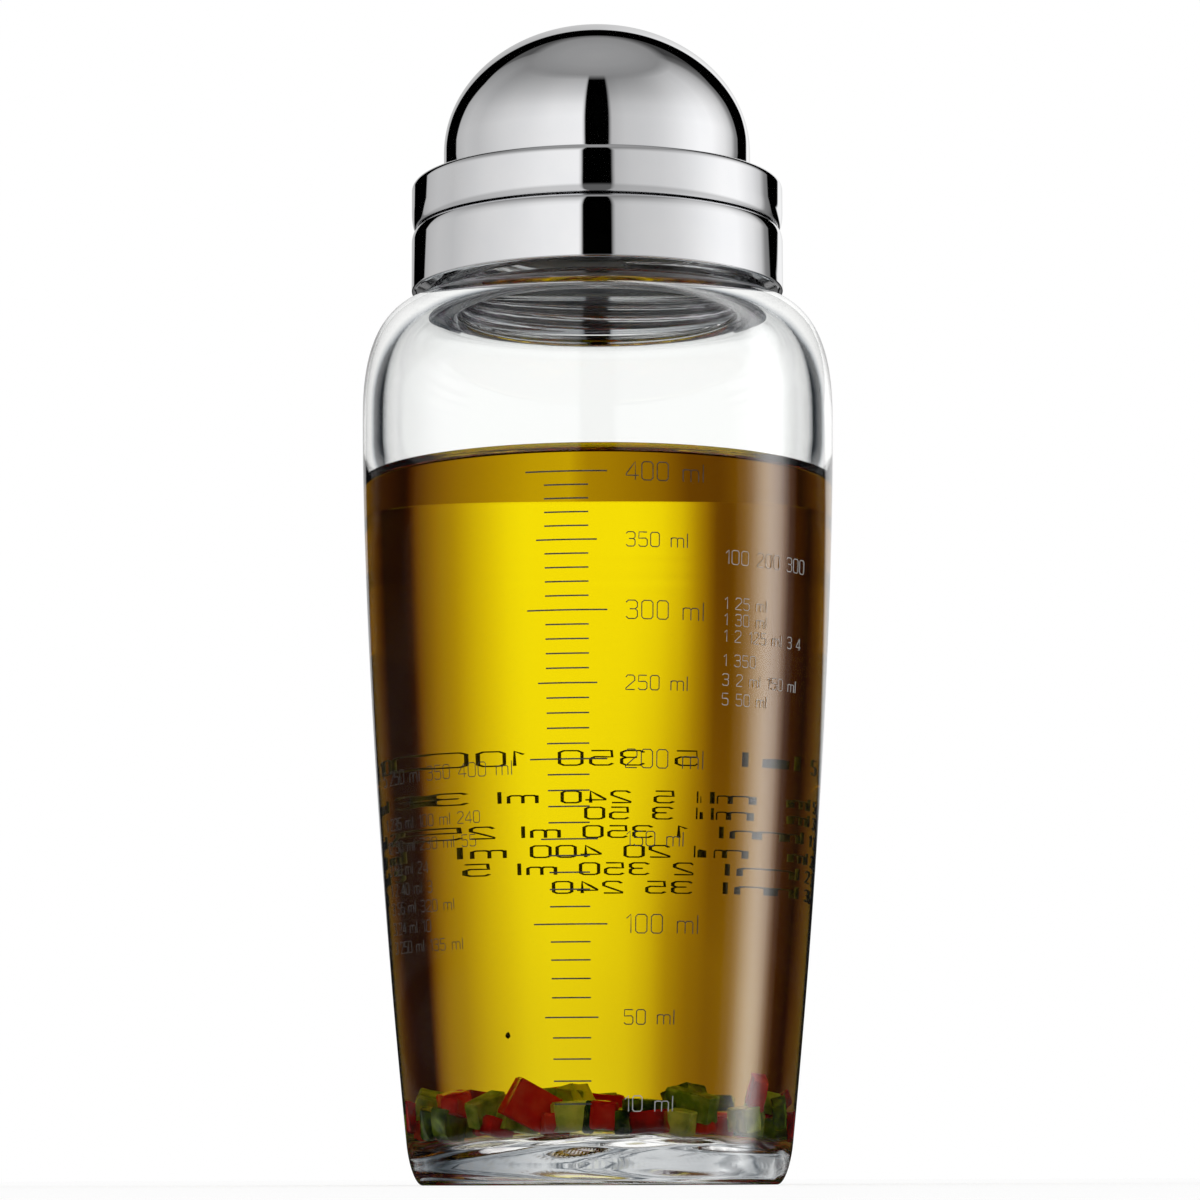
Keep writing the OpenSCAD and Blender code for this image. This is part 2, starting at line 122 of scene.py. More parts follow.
def arc(cr, cz, a, b, start, end, steps=8):
    """Points on an arc round (cr, cz) with half axes a and b, from one angle to another."""
    turn = [math.radians(start + (end - start) * i / steps) for i in range(steps + 1)]
    return [(cr + a * math.cos(t), cz + b * math.sin(t)) for t in turn]


# %% [markdown]
# ## Building materials from nodes
#
# Each finish is a Principled shader whose inputs come from noise on Object coordinates. Noise is
# used sparingly: glass ripples by a few microns, brushed steel has fine turning marks, and plastic
# varies a little in tone. Object coordinates lie still on the piece at every pose.

# %% Helpers that build node materials
def new_material(name, **inputs):
    """A Principled material and its node tree, with constant inputs set on the sockets."""
    mat = bpy.data.materials.new(name)
    mat.use_nodes = True
    shader = mat.node_tree.nodes["Principled BSDF"]
    for key, value in inputs.items():
        shader.inputs[key.replace("_", " ")].default_value = value
    return mat, mat.node_tree, shader


def node(tree, kind, **settings):
    """Add a node, set its properties, and set its input sockets by name."""
    made = tree.nodes.new(kind)
    for key, value in settings.items():
        if hasattr(made, key):
            setattr(made, key, value)
        else:
            made.inputs[key.replace("_", " ")].default_value = value
    return made


def object_noise(tree, scale, detail=3.0, stretch=(1, 1, 1)):
    """Noise on Object coordinates, squeezed or drawn out along the axes."""
    coords = node(tree, "ShaderNodeTexCoord")
    mapping = node(tree, "ShaderNodeMapping", Scale=stretch)
    noise = node(tree, "ShaderNodeTexNoise", Scale=scale, Detail=detail)
    tree.links.new(coords.outputs["Object"], mapping.inputs["Vector"])
    tree.links.new(mapping.outputs["Vector"], noise.inputs["Vector"])
    return noise


def add_bump(tree, shader, height, strength, distance):
    """Let a grey value push the surface in and out by a distance in metres."""
    bump = node(tree, "ShaderNodeBump", Strength=strength, Distance=distance)
    tree.links.new(height, bump.inputs["Height"])
    tree.links.new(bump.outputs["Normal"], shader.inputs["Normal"])
    return bump


def ramp(tree, value, stops):
    """Map a grey value to colours, given as (place, colour) stops."""
    made = node(tree, "ShaderNodeValToRGB")
    elements = made.color_ramp.elements
    while len(elements) < len(stops):
        elements.new(0.5)
    for element, (place, colour) in zip(elements, stops):
        element.position = place
        element.color = (*colour, 1)
    tree.links.new(value, made.inputs["Fac"])
    return made.outputs["Color"]


def map_range(tree, value, low, high, to_low, to_high):
    made = node(tree, "ShaderNodeMapRange")
    for key, number in (("From Min", low), ("From Max", high), ("To Min", to_low), ("To Max", to_high)):
        made.inputs[key].default_value = number
    tree.links.new(value, made.inputs["Value"])
    return made.outputs["Result"]


# %% [markdown]
# ## The glass bottle
#
# The real bottle is pressed glass: a thick base with a shallow hollow under it, walls that swell
# gently towards the shoulder, and a neck with a two-start thread. Inner and outer wall are one
# closed outline, so that light crosses a real thickness of glass and the edges go dark by
# themselves. The curves repeat those of the CAD model, with more points.

# %% Curves of the bottle
BODY_R, WIDEST_Z, HEEL_R, HEEL_Z, TAPER = 40.56, 130.56, 32.79, 8.0, 1.619
SHOULDER_H, SHOULDER_POWER = 21.34, 2.585
FOOT_W, FOOT_H, PUNT_R, PUNT_H = 1.97, 7.0, 24.5, 1.8
WALL, HEEL_WALL, HEEL_WALL_H, FLOOR_Z, CORNER_R = 2.5, 1.7, 34.0, 8.7, 3.5
SHOULDER_WALL = 0.9
NECK_R, BORE_R, NECK_H = 27.2, 24.2, 11.3
SHOULDER_Z = WIDEST_Z + SHOULDER_H
RIM_Z = SHOULDER_Z + NECK_H
OIL_Z = 119.49


def taper_r(z):
    """Radius of the outside, without the rounding of the foot."""
    up = max(0.0, (WIDEST_Z - z) / (WIDEST_Z - HEEL_Z))
    return BODY_R - (BODY_R - HEEL_R) * up**TAPER


def outer_r(z):
    if z >= FOOT_H:
        return taper_r(z)
    return taper_r(z) - FOOT_W * (1 - math.sqrt(max(0.0, 1 - (1 - z / FOOT_H) ** 2)))


def cavity_r(z):
    """Radius of the inside, which thickens towards the floor and rounds into it."""
    r = taper_r(z) - WALL - SHOULDER_WALL * min(1.0, max(0.0, (z - 108) / 14))
    if z < FLOOR_Z + HEEL_WALL_H:
        r -= HEEL_WALL * (1 + math.cos(math.pi * (z - FLOOR_Z) / HEEL_WALL_H)) / 2
    if z < FLOOR_Z + CORNER_R:
        r -= CORNER_R - math.sqrt(max(0, CORNER_R**2 - (CORNER_R - z + FLOOR_Z) ** 2))
    return r


def shoulder(r0, r1, z0, h, steps):
    """A quarter of a superellipse, from its side up to its top."""
    turn = [math.pi / 2 * i / steps for i in range(steps + 1)]
    bend = 2 / SHOULDER_POWER
    return [(r0 + (r1 - r0) * max(0, math.cos(t)) ** bend, z0 + h * math.sin(t) ** bend) for t in turn]


def cavity_side(top, steps):
    """The inside from the middle of the floor up to a height."""
    rounding = [FLOOR_Z + CORNER_R * (1 - math.cos(math.pi / 2 * i / 12)) for i in range(13)]
    low = FLOOR_Z + CORNER_R
    wall = [low + (top - low) * i / steps for i in range(1, steps + 1)]
    flat = [(cavity_r(FLOOR_Z) * i / 18, FLOOR_Z) for i in range(18)]
    return flat + [(cavity_r(z), z) for z in rounding + wall]


print("outer radius at the foot:", round(outer_r(0), 2), "mm, at the 200 ml line:", round(outer_r(68.7), 2))

# %% The outline and the spun bottle
punt = [(PUNT_R * i / 24, PUNT_H * (1 - (i / 24) ** 2)) for i in range(25)]
foot = [FOOT_H * (1 - math.cos(math.pi / 2 * i / 12)) for i in range(13)]
side = [FOOT_H + (WIDEST_Z - FOOT_H) * i / 50 for i in range(1, 50)]
neck_rows = [SHOULDER_Z + 0.9 + 8.9 * i / 44 for i in range(45)]
outside = (
    punt
    + [(outer_r(z), z) for z in foot + side]
    + shoulder(NECK_R, BODY_R, WIDEST_Z, SHOULDER_H, 24)
    + [(NECK_R, z) for z in neck_rows]
)
inside = list(reversed(cavity_side(OIL_Z, 50) + [(cavity_r(z), z) for z in (122, 125, 128)]))
glass = lathe(
    "bottle_glass",
    outside
    + arc(NECK_R - 1.1, RIM_Z - 1.1, 1.1, 1.1, 0, 90)
    + arc(BORE_R + 1.1, RIM_Z - 1.1, 1.1, 1.1, 90, 180)
    + arc(BORE_R + 1.6, SHOULDER_Z - WALL + 1.6, 1.6, 1.6, 180, 270)
    + list(reversed(shoulder(BORE_R + 1.6, BODY_R - WALL - SHOULDER_WALL, WIDEST_Z, SHOULDER_H - WALL, 24)))
    + inside,
)

# %% [markdown]
# ## The thread on the neck
#
# Through the shoulder one sees the thread as a stack of bright and dark ribs. A separate coil
# pushed into the neck would leave hidden walls inside the glass, and light would show them. So
# the thread is raised out of the neck itself: each point of the fine rows moves outwards by the
# height that the ridge has there. The steel ring of the lid gets its thread the same way, inwards.

# %% Raise the thread
PITCH, LEAD = 3.2, 6.4


def ridge(angle, z, foot_w, crest_w, first, last, drop):
    """Height of the ridge at an angle and a height, from 0 in the groove to 1 on the crest."""
    place = (z + drop - angle / (2 * math.pi) * LEAD) % PITCH
    away = min(place, PITCH - place)
    flank = (foot_w / 2 - away) / (foot_w / 2 - crest_w / 2)
    fade = min(1.0, max(0.0, (z - first) / 0.9), max(0.0, (last - z) / 0.9))
    return max(0.0, min(1.0, flank)) * fade


def raise_thread(piece, radius, depth, foot_w, crest_w, first, last, drop):
    moved = 0
    for vertex in piece.data.vertices:
        x, y, z = (c / MM for c in vertex.co)
        r = math.hypot(x, y)
        if abs(r - radius) < 0.02 and first < z < last:
            grown = r + depth * ridge(math.atan2(y, x), z, foot_w, crest_w, first, last, drop)
            vertex.co.x, vertex.co.y = x * grown / r * MM, y * grown / r * MM
            moved += 1
    print(piece.name, "thread moved", moved, "points")


raise_thread(glass, NECK_R, 1.4, 1.7, 0.7, SHOULDER_Z + 0.9, RIM_Z - 2.0, 0)

# %% [markdown]
# ## The uneven underside and the mould seam
#
# The base of a pressed bottle is cut off and pressed while hot, so its underside is wavy, and these
# waves draw the bright and dark streaks that one sees in a thick base. Bump alone would not bend
# the light twice, so the points of the real surface are moved: the underside is lifted by the waves,
# which fade out towards the edge of the foot, and the floor inside is waved more deeply and sinks
# at the left and right. The two halves of the mould leave a fine seam on either side of the bottle.

# %% Waves in the base and two seams
def swell(x, y):
    """Height of the waves at a place, about 0 to 1. Their ridges run mostly from left to right."""
    long_wave = 0.2 * math.sin(y / 2.4 - 0.16 * x + 2.0)
    short_wave = 0.2 * math.sin(y / 1.4 + 1.2 * math.sin(x / 7) + 0.3 * x)
    return 0.5 + long_wave + short_wave + 0.1 * math.sin(x / 3.7 + y / 6)


def make_wavy(piece, share, depth):
    """Lifts each point by depth millimetres times the wave times share(radius, height)."""
    for vertex in piece.data.vertices:
        x, y, z = vertex.co / MM
        vertex.co.z += depth * swell(x, y) * share(math.hypot(x, y), z) * MM


def sink_floor(piece):
    """Makes the floor wavy, and lower at the left and right than in the middle."""
    held = [floor_share(math.hypot(v.co.x, v.co.y) / MM, v.co.z / MM) for v in piece.data.vertices]
    make_wavy(piece, floor_share, -1.0)
    for vertex, share in zip(piece.data.vertices, held):
        vertex.co.z -= sag(vertex.co.x / MM) * share * MM


def underside_share(r, z):
    """1 under the middle, fading out towards the edge of the foot."""
    return min(1.0, max(0.0, (outer_r(0) - r) / 6)) if z < PUNT_H + 0.1 else 0.0


def sag(x):
    """How far the floor sinks at a distance to the side of the middle, in millimetres."""
    return 2.0 * (x / 27) ** 2


def floor_share(r, z):
    """1 on the flat of the floor, fading out up its rounded corner, and nothing elsewhere."""
    if z < FLOOR_Z - 0.2 or z > FLOOR_Z + 2.5 or r > cavity_r(max(z, FLOOR_Z + 0.001)) + 0.4:
        return 0.0
    return min(1.0, (FLOOR_Z + 2.5 - z) / 2.5)


make_wavy(glass, underside_share, 0.5)
sink_floor(glass)
SEAM_TURN, SEAM_RISE = 28, 0.05
on_seam = 0
for vertex in glass.data.vertices:
    x, y, z = vertex.co / MM
    if not FOOT_H < z < WIDEST_Z:
        continue
    r = math.hypot(x, y)
    off_seam = (math.degrees(math.atan2(x, -y)) - SEAM_TURN + 90) % 180 - 90
    if abs(off_seam) < 180 / TURN and abs(r - outer_r(z)) < 0.05:
        vertex.co.x, vertex.co.y = x * (r + SEAM_RISE) / r * MM, y * (r + SEAM_RISE) / r * MM
        on_seam += 1
print("points on the seams:", on_seam)

# %% [markdown]
# ## Clear glass, and glass that oil wets
#
# Where glass meets air, light is both bent and mirrored. Where it meets oil of nearly the same
# density, it passes almost unmirrored. In the model the oil's skin lies a hair inside the glass,
# so that no air is left between them, and there the glass may bend light but must not mirror it:
# its specular tint is black. Two slots on one mesh hold the two cases. Pressed glass is never
# quite even, so a slow noise ripples it by a few microns.

# %% Glass materials
NO_MIRROR, MIRROR = (0, 0, 0, 1), (1, 1, 1, 1)


def glass_material(name, tint, ripple):
    mat, tree, shader = new_material(
        name, Base_Color=(0.985, 0.995, 0.99, 1), Roughness=0.0, IOR=1.52, Transmission_Weight=1.0,
        Specular_Tint=tint)
    noise = object_noise(tree, 24, 2.0, (1, 1, 0.35))
    add_bump(tree, shader, noise.outputs["Fac"], 1.0, ripple)
    return mat


clear_glass = glass_material("clear_glass", MIRROR, 0.00003)
wetted_glass = glass_material("glass_wetted_by_oil", NO_MIRROR, 0.00003)
glass.data.materials.append(clear_glass)
glass.data.materials.append(wetted_glass)
wet = 0
for face in glass.data.polygons:
    r, z = math.hypot(face.center.x, face.center.y) / MM, face.center.z / MM
    if PUNT_H + 3.5 < z < OIL_Z and r < cavity_r(max(z, FLOOR_Z + CORNER_R)) + 0.4:
        face.material_index = 1
        wet += 1
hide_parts("glass_bottle")
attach(glass, "bottle")
print("faces wetted by oil:", wet, "of", len(glass.data.polygons))

# %% [markdown]
# ## The oil
#
# The oil is one closed body that fills the inside. It could be a coloured surface, but then a
# thick and a thin layer would look alike. Real oil takes away blue, and a little green, along
# the way of the light, so its colour comes from absorption in its volume. Its edge climbs
# the glass a little: that is the meniscus, which draws the thin dark line along the top.

# %% Model the oil
SKIN = 0.05
level = [(r, OIL_Z + 0.03) for r in (0, 8, 16, 24, 30, 34)]
wall_r = cavity_r(OIL_Z + 1.3) + SKIN
meniscus = [(wall_r - 2.6 * (1 - i / 10), OIL_Z + 0.03 + 1.3 * (i / 10) ** 3) for i in range(1, 11)]
sides = [(r + SKIN, z - SKIN / 2) if r > 0 else (r, z - SKIN) for r, z in cavity_side(OIL_Z + 1.2, 50)]
oil = lathe("salad_oil", sides + list(reversed(meniscus)) + list(reversed(level)))
sink_floor(oil)

# %% Oil material
def oil_material(name, tint):
    mat, tree, shader = new_material(
        name, Base_Color=(1, 1, 1, 1), Roughness=0.0, IOR=1.47, Transmission_Weight=1.0, Specular_Tint=tint)
    swirl = object_noise(tree, 30, 2.0, (1, 1, 0.4))
    add_bump(tree, shader, swirl.outputs["Fac"], 1.0, 0.00001)
    gold = node(tree, "ShaderNodeVolumeAbsorption", Color=(0.9945, 0.957, 0.15, 1), Density=100.0)
    tree.links.new(gold.outputs["Volume"], tree.nodes["Material Output"].inputs["Volume"])
    return mat


oil.data.materials.append(oil_material("oil_against_glass", NO_MIRROR))
oil.data.materials.append(oil_material("oil_surface", MIRROR))
for face in oil.data.polygons:
    r = math.hypot(face.center.x, face.center.y) / MM
    if face.center.z / MM > OIL_Z - 0.2 and r < wall_r - 0.02:
        face.material_index = 1
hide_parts("dressing_oil")
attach(oil, "bottle")

# %% [markdown]
# ## Ink on the glass
#
# The millilitre lines come from the CAD model, where each one's height follows from the volume
# below it. Their numbers are drawn here with a stroke font: each glyph is a few straight strokes
# in a small grid, laid on the glass and given a round section. A text object would be quicker,
# but its strokes are heavier than the fine, squared ones on such a scale.

# %% Glyphs and a helper that lays strokes on the glass
GLYPHS = {
    "0": [[(0.12, 0), (0.5, 0), (0.62, 0.12), (0.62, 0.88), (0.5, 1), (0.12, 1), (0, 0.88), (0, 0.12), (0.12, 0)]],
    "1": [[(0.1, 0.78), (0.34, 1), (0.34, 0)]],
    "2": [[(0, 0.85), (0.12, 1), (0.5, 1), (0.62, 0.87), (0.62, 0.64), (0, 0.1), (0, 0), (0.62, 0)]],
    "3": [[(0, 0.88), (0.12, 1), (0.5, 1), (0.62, 0.88), (0.62, 0.64), (0.5, 0.53), (0.2, 0.53)],
          [(0.5, 0.53), (0.62, 0.42), (0.62, 0.12), (0.5, 0), (0.12, 0), (0, 0.12)]],
    "4": [[(0.5, 0), (0.5, 1), (0, 0.32), (0, 0.24), (0.68, 0.24)]],
    "5": [[(0.6, 1), (0.04, 1), (0.02, 0.56), (0.5, 0.58), (0.62, 0.46), (0.62, 0.12), (0.5, 0), (0.12, 0), (0, 0.12)]],
    "m": [[(0, 0), (0, 0.66)], [(0, 0.56), (0.1, 0.66), (0.38, 0.66), (0.46, 0.57), (0.46, 0)],
          [(0.46, 0.57), (0.56, 0.66), (0.82, 0.66), (0.92, 0.57), (0.92, 0)]],
    "l": [[(0, 1), (0, 0)]],
}
ADVANCE = {"1": 0.6, "m": 1.2, "l": 0.3, " ": 0.62}


def on_glass(turn, z, lift):
    """The point on the outside at an angle to the right of the front, in metres."""
    a, r = math.radians(turn - 90), (outer_r(z) + lift) * MM
    return (r * math.cos(a), r * math.sin(a), z * MM)


def ink_strokes(name, strokes, radius):
    """Strokes of (turn, height) points as one mesh of fine round lines that lie on the glass."""
    curve = bpy.data.curves.new(name, "CURVE")
    curve.dimensions = "3D"
    curve.bevel_depth = radius * MM
    curve.bevel_resolution = 0
    for stroke in strokes:
        fine = [stroke[0]]
        for (t0, z0), (t1, z1) in zip(stroke, stroke[1:]):
            parts = max(1, math.ceil(abs(t1 - t0) / 1.2))
            fine += [(t0 + (t1 - t0) * k / parts, z0 + (z1 - z0) * k / parts) for k in range(1, parts + 1)]
        spline = curve.splines.new("POLY")
        spline.points.add(len(fine) - 1)
        for point, (turn, z) in zip(spline.points, fine):
            point.co = (*on_glass(turn, z, radius + 0.03), 1)
    piece = bpy.data.objects.new(name, curve)
    bpy.context.collection.objects.link(piece)
    select_only(piece)
    bpy.ops.object.convert(target="MESH")
    piece = bpy.context.object
    bpy.ops.object.mode_set(mode="EDIT")
    bpy.ops.mesh.select_all(action="SELECT")
    bpy.ops.mesh.normals_make_consistent(inside=False)
    bpy.ops.object.mode_set(mode="OBJECT")
    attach(piece, "bottle")
    print(name, "has", len(strokes), "strokes")
    return piece


# %% The numbers of the scale
LINES = {400: 115.71, 350: 104.47, 300: 92.96, 250: 81.07, 200: 68.72, 150: 55.76, 100: 42.01, 50: 26.98, 10: 13.05}


def label(text, turn, z, height):
    """Strokes of a text whose middle stands at a height and which begins at an angle."""
    strokes, along = [], 0.0
    per_mm = math.degrees(1 / outer_r(z))
    for glyph in text:
        for stroke in GLYPHS.get(glyph, []):
            strokes.append([(turn + (along + x) * height * per_mm, z + (y - 0.5) * height) for x, y in stroke])
        along += ADVANCE.get(glyph, 0.86)
    return strokes


numbers = []
for ml, z in LINES.items():
    height = 3.0 if ml % 100 == 0 else 2.5 if ml == 10 else 2.35
    numbers += label(f"{ml} ml", 6.6, z + 0.05, height)
scale_numbers = ink_strokes("scale_numbers", numbers, 0.09)

# %% [markdown]
# ## Where the recipes stand
#
# The real bottle carries three printed recipes. Their words are not copied. Each block here keeps
# its place, its line lengths and its grey, but lists only plain amounts in millilitres. The stroke
# font of the scale writes them, a little slanted in size from block to block, and the block on
# the back is heavier, because glass and oil magnify it.

# %% Lists of plain amounts
def block(first_turn, rows):
    """Rows of (height up the glass, letter height, text), all beginning at the same angle."""
    strokes = []
    for z, height, text in rows:
        strokes += label(text, first_turn, z + height / 2, height)
    return strokes


right_rows = [
    (101.2, 2.3, "100 200 300"), (93.8, 1.9, "1 25 ml"), (91.1, 1.9, "1 30 ml"), (88.4, 1.9, "1 2 125 ml 3 4"),
    (84.4, 1.9, "1 350"), (81.2, 1.9, "3 2 ml 150 ml"), (78.0, 1.9, "5 50 ml")]
left_rows = [
    (66.4, 2.3, "5 250 ml 350 400 ml"), (58.9, 1.9, "1 235 ml 100 ml 240"), (55.1, 1.9, "12 30 ml 230 ml 55"),
    (51.3, 1.9, "3 50 ml 24"), (48.0, 1.9, "1 2 40 ml 3"), (44.9, 1.9, "3 55 ml 320 ml"), (41.6, 1.9, "3 24 ml 10"),
    (38.4, 1.9, "3 250 ml 135 ml")]
back_rows = [
    (74.2, 2.5, "240 ml 5 350 100"), (67.7, 2.0, "12 350 ml 5 240 ml 3"), (64.9, 2.0, "10 245 ml 3 50"),
    (61.7, 2.0, "5 200 ml 1 350 ml 25"), (58.3, 2.0, "12 300 ml 20 400 ml"), (55.3, 2.0, "3 150 ml 2 350 ml 5"),
    (52.1, 2.0, "1 200 ml 35 240")]
recipe_marks = ink_strokes("recipe_marks", block(31.5, right_rows) + block(-72, left_rows), 0.075)
back_marks = ink_strokes("back_recipe_marks", block(150, back_rows), 0.13)

# %% Ink materials
def ink_material(name, alpha, dark, light):
    mat, tree, shader = new_material(name, Roughness=0.55, Alpha=alpha, Specular_IOR_Level=0.1)
    grain = object_noise(tree, 900, 2.0)
    tree.links.new(ramp(tree, grain.outputs["Fac"], [(0.3, (dark,) * 3), (0.7, (light,) * 3)]),
                   shader.inputs["Base Color"])
    return mat


ink = ink_material("grey_ink", 0.88, 0.03, 0.07)
pale_ink = ink_material("pale_grey_ink", 0.85, 0.34, 0.5)
for piece, finish in ((scale_numbers, ink), (recipe_marks, pale_ink), (back_marks, ink)):
    piece.data.materials.append(finish)
scale_numbers.data.materials.append(pale_ink)
for face in scale_numbers.data.polygons:
    face.material_index = int(face.center.z < 0.017)
recipe_marks.data.materials.append(ink)
for face in recipe_marks.data.polygons:
    face.material_index = int(face.center.x < 0)
nodes["scale_lines"].data.materials.clear()
nodes["scale_lines"].data.materials.append(ink)

# %% [markdown]
# ## Diced pepper
#
# The dice are cut by hand, so no two are alike: some lean on the wall, some lie on others, and
# each has one glossy skin side while the rest is wet flesh. One die is a cube that is bevelled,
# subdivided and then shaken a little point by point. Every copy is turned, stretched and shaken
# with its own seed, and a number per die lets the material vary its colour.

# %% Model the dice
def die(name, place, size, turn, tone, seed):
    """One die in millimetres. The turn is in degrees, and the tone is kept for its material."""
    deselect()
    bpy.ops.mesh.primitive_cube_add(size=1)
    piece = bpy.context.object
    piece.name = name
    bpy.ops.object.mode_set(mode="EDIT")
    bpy.ops.mesh.select_all(action="SELECT")
    bpy.ops.transform.resize(value=tuple(s * MM for s in size))
    bpy.ops.mesh.bevel(offset=0.35 * MM, segments=2, affect="EDGES")
    bpy.ops.mesh.subdivide(number_cuts=1)
    bpy.ops.transform.vertex_random(offset=0.16 * MM, uniform=0.6, normal=0.4, seed=seed)
    bpy.ops.object.mode_set(mode="OBJECT")
    spin = Euler([math.radians(a) for a in turn]).to_matrix().to_4x4()
    piece.data.transform(Matrix.Translation(Vector(place) * MM) @ spin)
    for vertex in piece.data.vertices:
        x, y, z = vertex.co / MM
        z = max(z, FLOOR_Z - 0.3 - sag(x))
        inward = min(1.0, (cavity_r(z + sag(x)) - 0.15) / math.hypot(x, y))
        vertex.co = Vector((x * inward, y * inward, z)) * MM
    bpy.ops.object.shade_smooth_by_angle(angle=math.radians(50))
    mark = piece.data.attributes.new("tone", "FLOAT", "FACE")
    mark.data.foreach_set("value", [tone] * len(piece.data.polygons))
    return piece


def from_photo(x, y, out):
    """Where the die seen at a pixel of the photo lies, when its middle is so far from the axis.

    The glass bends the line of sight: the angle at which it meets the outside shrinks inside.
    """
    rise = math.tan(math.radians(7.497) + math.atan((600 - y) / 4400))
    side = (x - 599) / 5.86
    inside = side / BENDING
    about = math.asin(side / HEEL_R) - math.asin(inside / HEEL_R) + math.asin(max(-1.0, min(1.0, inside / out)))
    depth = -out * math.cos(about)
    return (out * math.sin(about), depth, 1 + (750 + depth) * rise)


BENDING = 1.5
SEEN = {
    "red": [
        (532, 1104, 24.5, (7.4, 3.6, 6.6), (8, 28, 12), 0.6), (556, 1123, 25.6, (4.0, 3.0, 3.6), (4, 2, 5), 0.75),
        (603, 1114, 25.4, (3.8, 3.4, 4.6), (3, 4, -6), 0.5), (646, 1121, 25.0, (5.6, 3.2, 3.8), (6, -4, -14), 0.2),
        (697, 1122, 24.8, (4.2, 3.0, 3.2), (5, 6, -22), 0.7), (751, 1091, 26.6, (4.4, 3.0, 5.2), (-8, 22, -64), 0.95),
        (788, 1124, 27.4, (3.2, 3.0, 4.4), (10, -8, -80), 0.4), (458, 1106, 24.9, (4.8, 3.4, 2.6), (0, 8, 52), 0.5),
        (414, 1114, 27.6, (3.0, 3.4, 5.2), (6, 0, 70), 0.3), (500, 1126, 24.6, (5.0, 3.0, 3.0), (8, 14, 26), 0.35)],
    "green": [
        (572, 1115, 25.3, (5.6, 2.6, 4.8), (6, -6, 10), 0.95), (589, 1116, 24.6, (1.6, 3.6, 5.2), (0, 6, 0), 0.05),
        (621, 1121, 25.6, (2.4, 3.4, 4.0), (4, -8, -4), 0.1), (676, 1121, 25.4, (4.4, 3.0, 4.0), (8, 12, -16), 0.9),
        (688, 1104, 24.0, (8.4, 3.0, 4.6), (10, 14, -22), 0.5), (774, 1111, 26.8, (4.0, 3.4, 4.6), (12, 24, -62), 0.3),
        (490, 1108, 24.2, (6.6, 3.2, 4.4), (8, -22, 28), 0.55), (450, 1124, 25.2, (8.0, 3.6, 4.8), (6, 8, 46), 0.3),
        (432, 1121, 26.4, (5.0, 3.4, 5.0), (4, -10, 58), 0.2), (740, 1118, 25.4, (6.4, 3.6, 4.0), (8, 4, -46), 0.75),
        (646, 1106, 22.5, (7.4, 3.0, 2.6), (4, 4, -10), 0.15), (520, 1118, 22.6, (6.0, 3.6, 4.2), (0, 10, 20), 0.6)],
}
dice = {"red": [], "green": []}
for colour, rows in SEEN.items():
    for k, (x, y, out, size, turn, tone) in enumerate(rows):
        place = from_photo(x, y, out)
        dice[colour].append(die(f"{colour}_die_{k}", place, size, turn, tone, k + 1))

# %% Scatter the rest over the floor
pick = random.Random(5)
laid = [(p[0], p[1]) for rows in SEEN.values() for p in [from_photo(*row[:3]) for row in rows]]
tries = 0
while len(dice["red"]) + len(dice["green"]) < 74 and tries < 4000:
    tries += 1
    out, about = 25.0 * math.sqrt(pick.random()), math.radians(pick.uniform(0, 360))
    x, y = out * math.cos(about), out * math.sin(about)
    if y < -17 or min(math.hypot(x - a, y - b) for a, b in laid) < 4.4 + 0.4 * pick.random():
        continue
    laid.append((x, y))
    colour = "red" if pick.random() < 0.45 else "green"
    size = (pick.uniform(3.8, 6.0), pick.uniform(3.6, 5.2), pick.uniform(2.8, 4.4))
    lean = (pick.uniform(-8, 8), pick.uniform(-8, 8), pick.uniform(0, 180))
    place = (x, y, FLOOR_Z + 0.4 + size[2] / 2 - 0.8 * sag(x) + max(0, out - 22) * 0.35)
    dice[colour].append(die(f"{colour}_die_{tries}", place, size, lean, pick.random(), tries))
top_layer = 0
while top_layer < 16:
    out, about = 22.0 * math.sqrt(pick.random()), math.radians(pick.uniform(-30, 210))
    colour = "red" if top_layer % 2 else "green"
    size = (pick.uniform(3.8, 5.6), pick.uniform(3.4, 5.0), pick.uniform(2.6, 3.6))
    lean = (pick.uniform(-24, 24), pick.uniform(-24, 24), pick.uniform(0, 180))
    x, y = out * math.cos(about), out * math.sin(about)
    place = (x, y, FLOOR_Z + 6.7 - 0.8 * sag(x))
    dice[colour].append(die(f"{colour}_top_{top_layer}", place, size, lean, pick.random(), 900 + top_layer))
    top_layer += 1
for colour, copies in dice.items():
    deselect()
    for piece in copies:
        piece.select_set(True)
    bpy.context.view_layer.objects.active = copies[0]
    bpy.ops.object.join()
    bpy.context.object.name = f"{colour}_pepper"
    print(colour, "dice:", len(copies), "faces:", len(bpy.context.object.data.polygons))

# %% Pepper material
def pepper_material(name, dark, middle, pale):
    """Deep to pale colour from a number per die and blotchy noise, and fine fibres in the bump."""
    mat, tree, shader = new_material(name, Roughness=0.16, IOR=1.5, Subsurface_Weight=0.35)
    shader.inputs["Subsurface Radius"].default_value = (0.002, 0.001, 0.0005)
    shader.inputs["Subsurface Scale"].default_value = 0.5
    tone = node(tree, "ShaderNodeAttribute", attribute_name="tone")
    blotch = object_noise(tree, 420, 4.0)
    mix = node(tree, "ShaderNodeMath", operation="MULTIPLY_ADD")
    mix.inputs[1].default_value = 0.9
    tree.links.new(blotch.outputs["Fac"], mix.inputs[0])
    tree.links.new(map_range(tree, tone.outputs["Fac"], 0, 1, -0.42, 0.5), mix.inputs[2])
    colours = ramp(tree, mix.outputs["Value"], [(0.05, dark), (0.45, middle), (0.95, pale)])
    tree.links.new(colours, shader.inputs["Base Color"])
    fibre = object_noise(tree, 1500, 3.0)
    add_bump(tree, shader, fibre.outputs["Fac"], 0.5, 0.0002)
    return mat


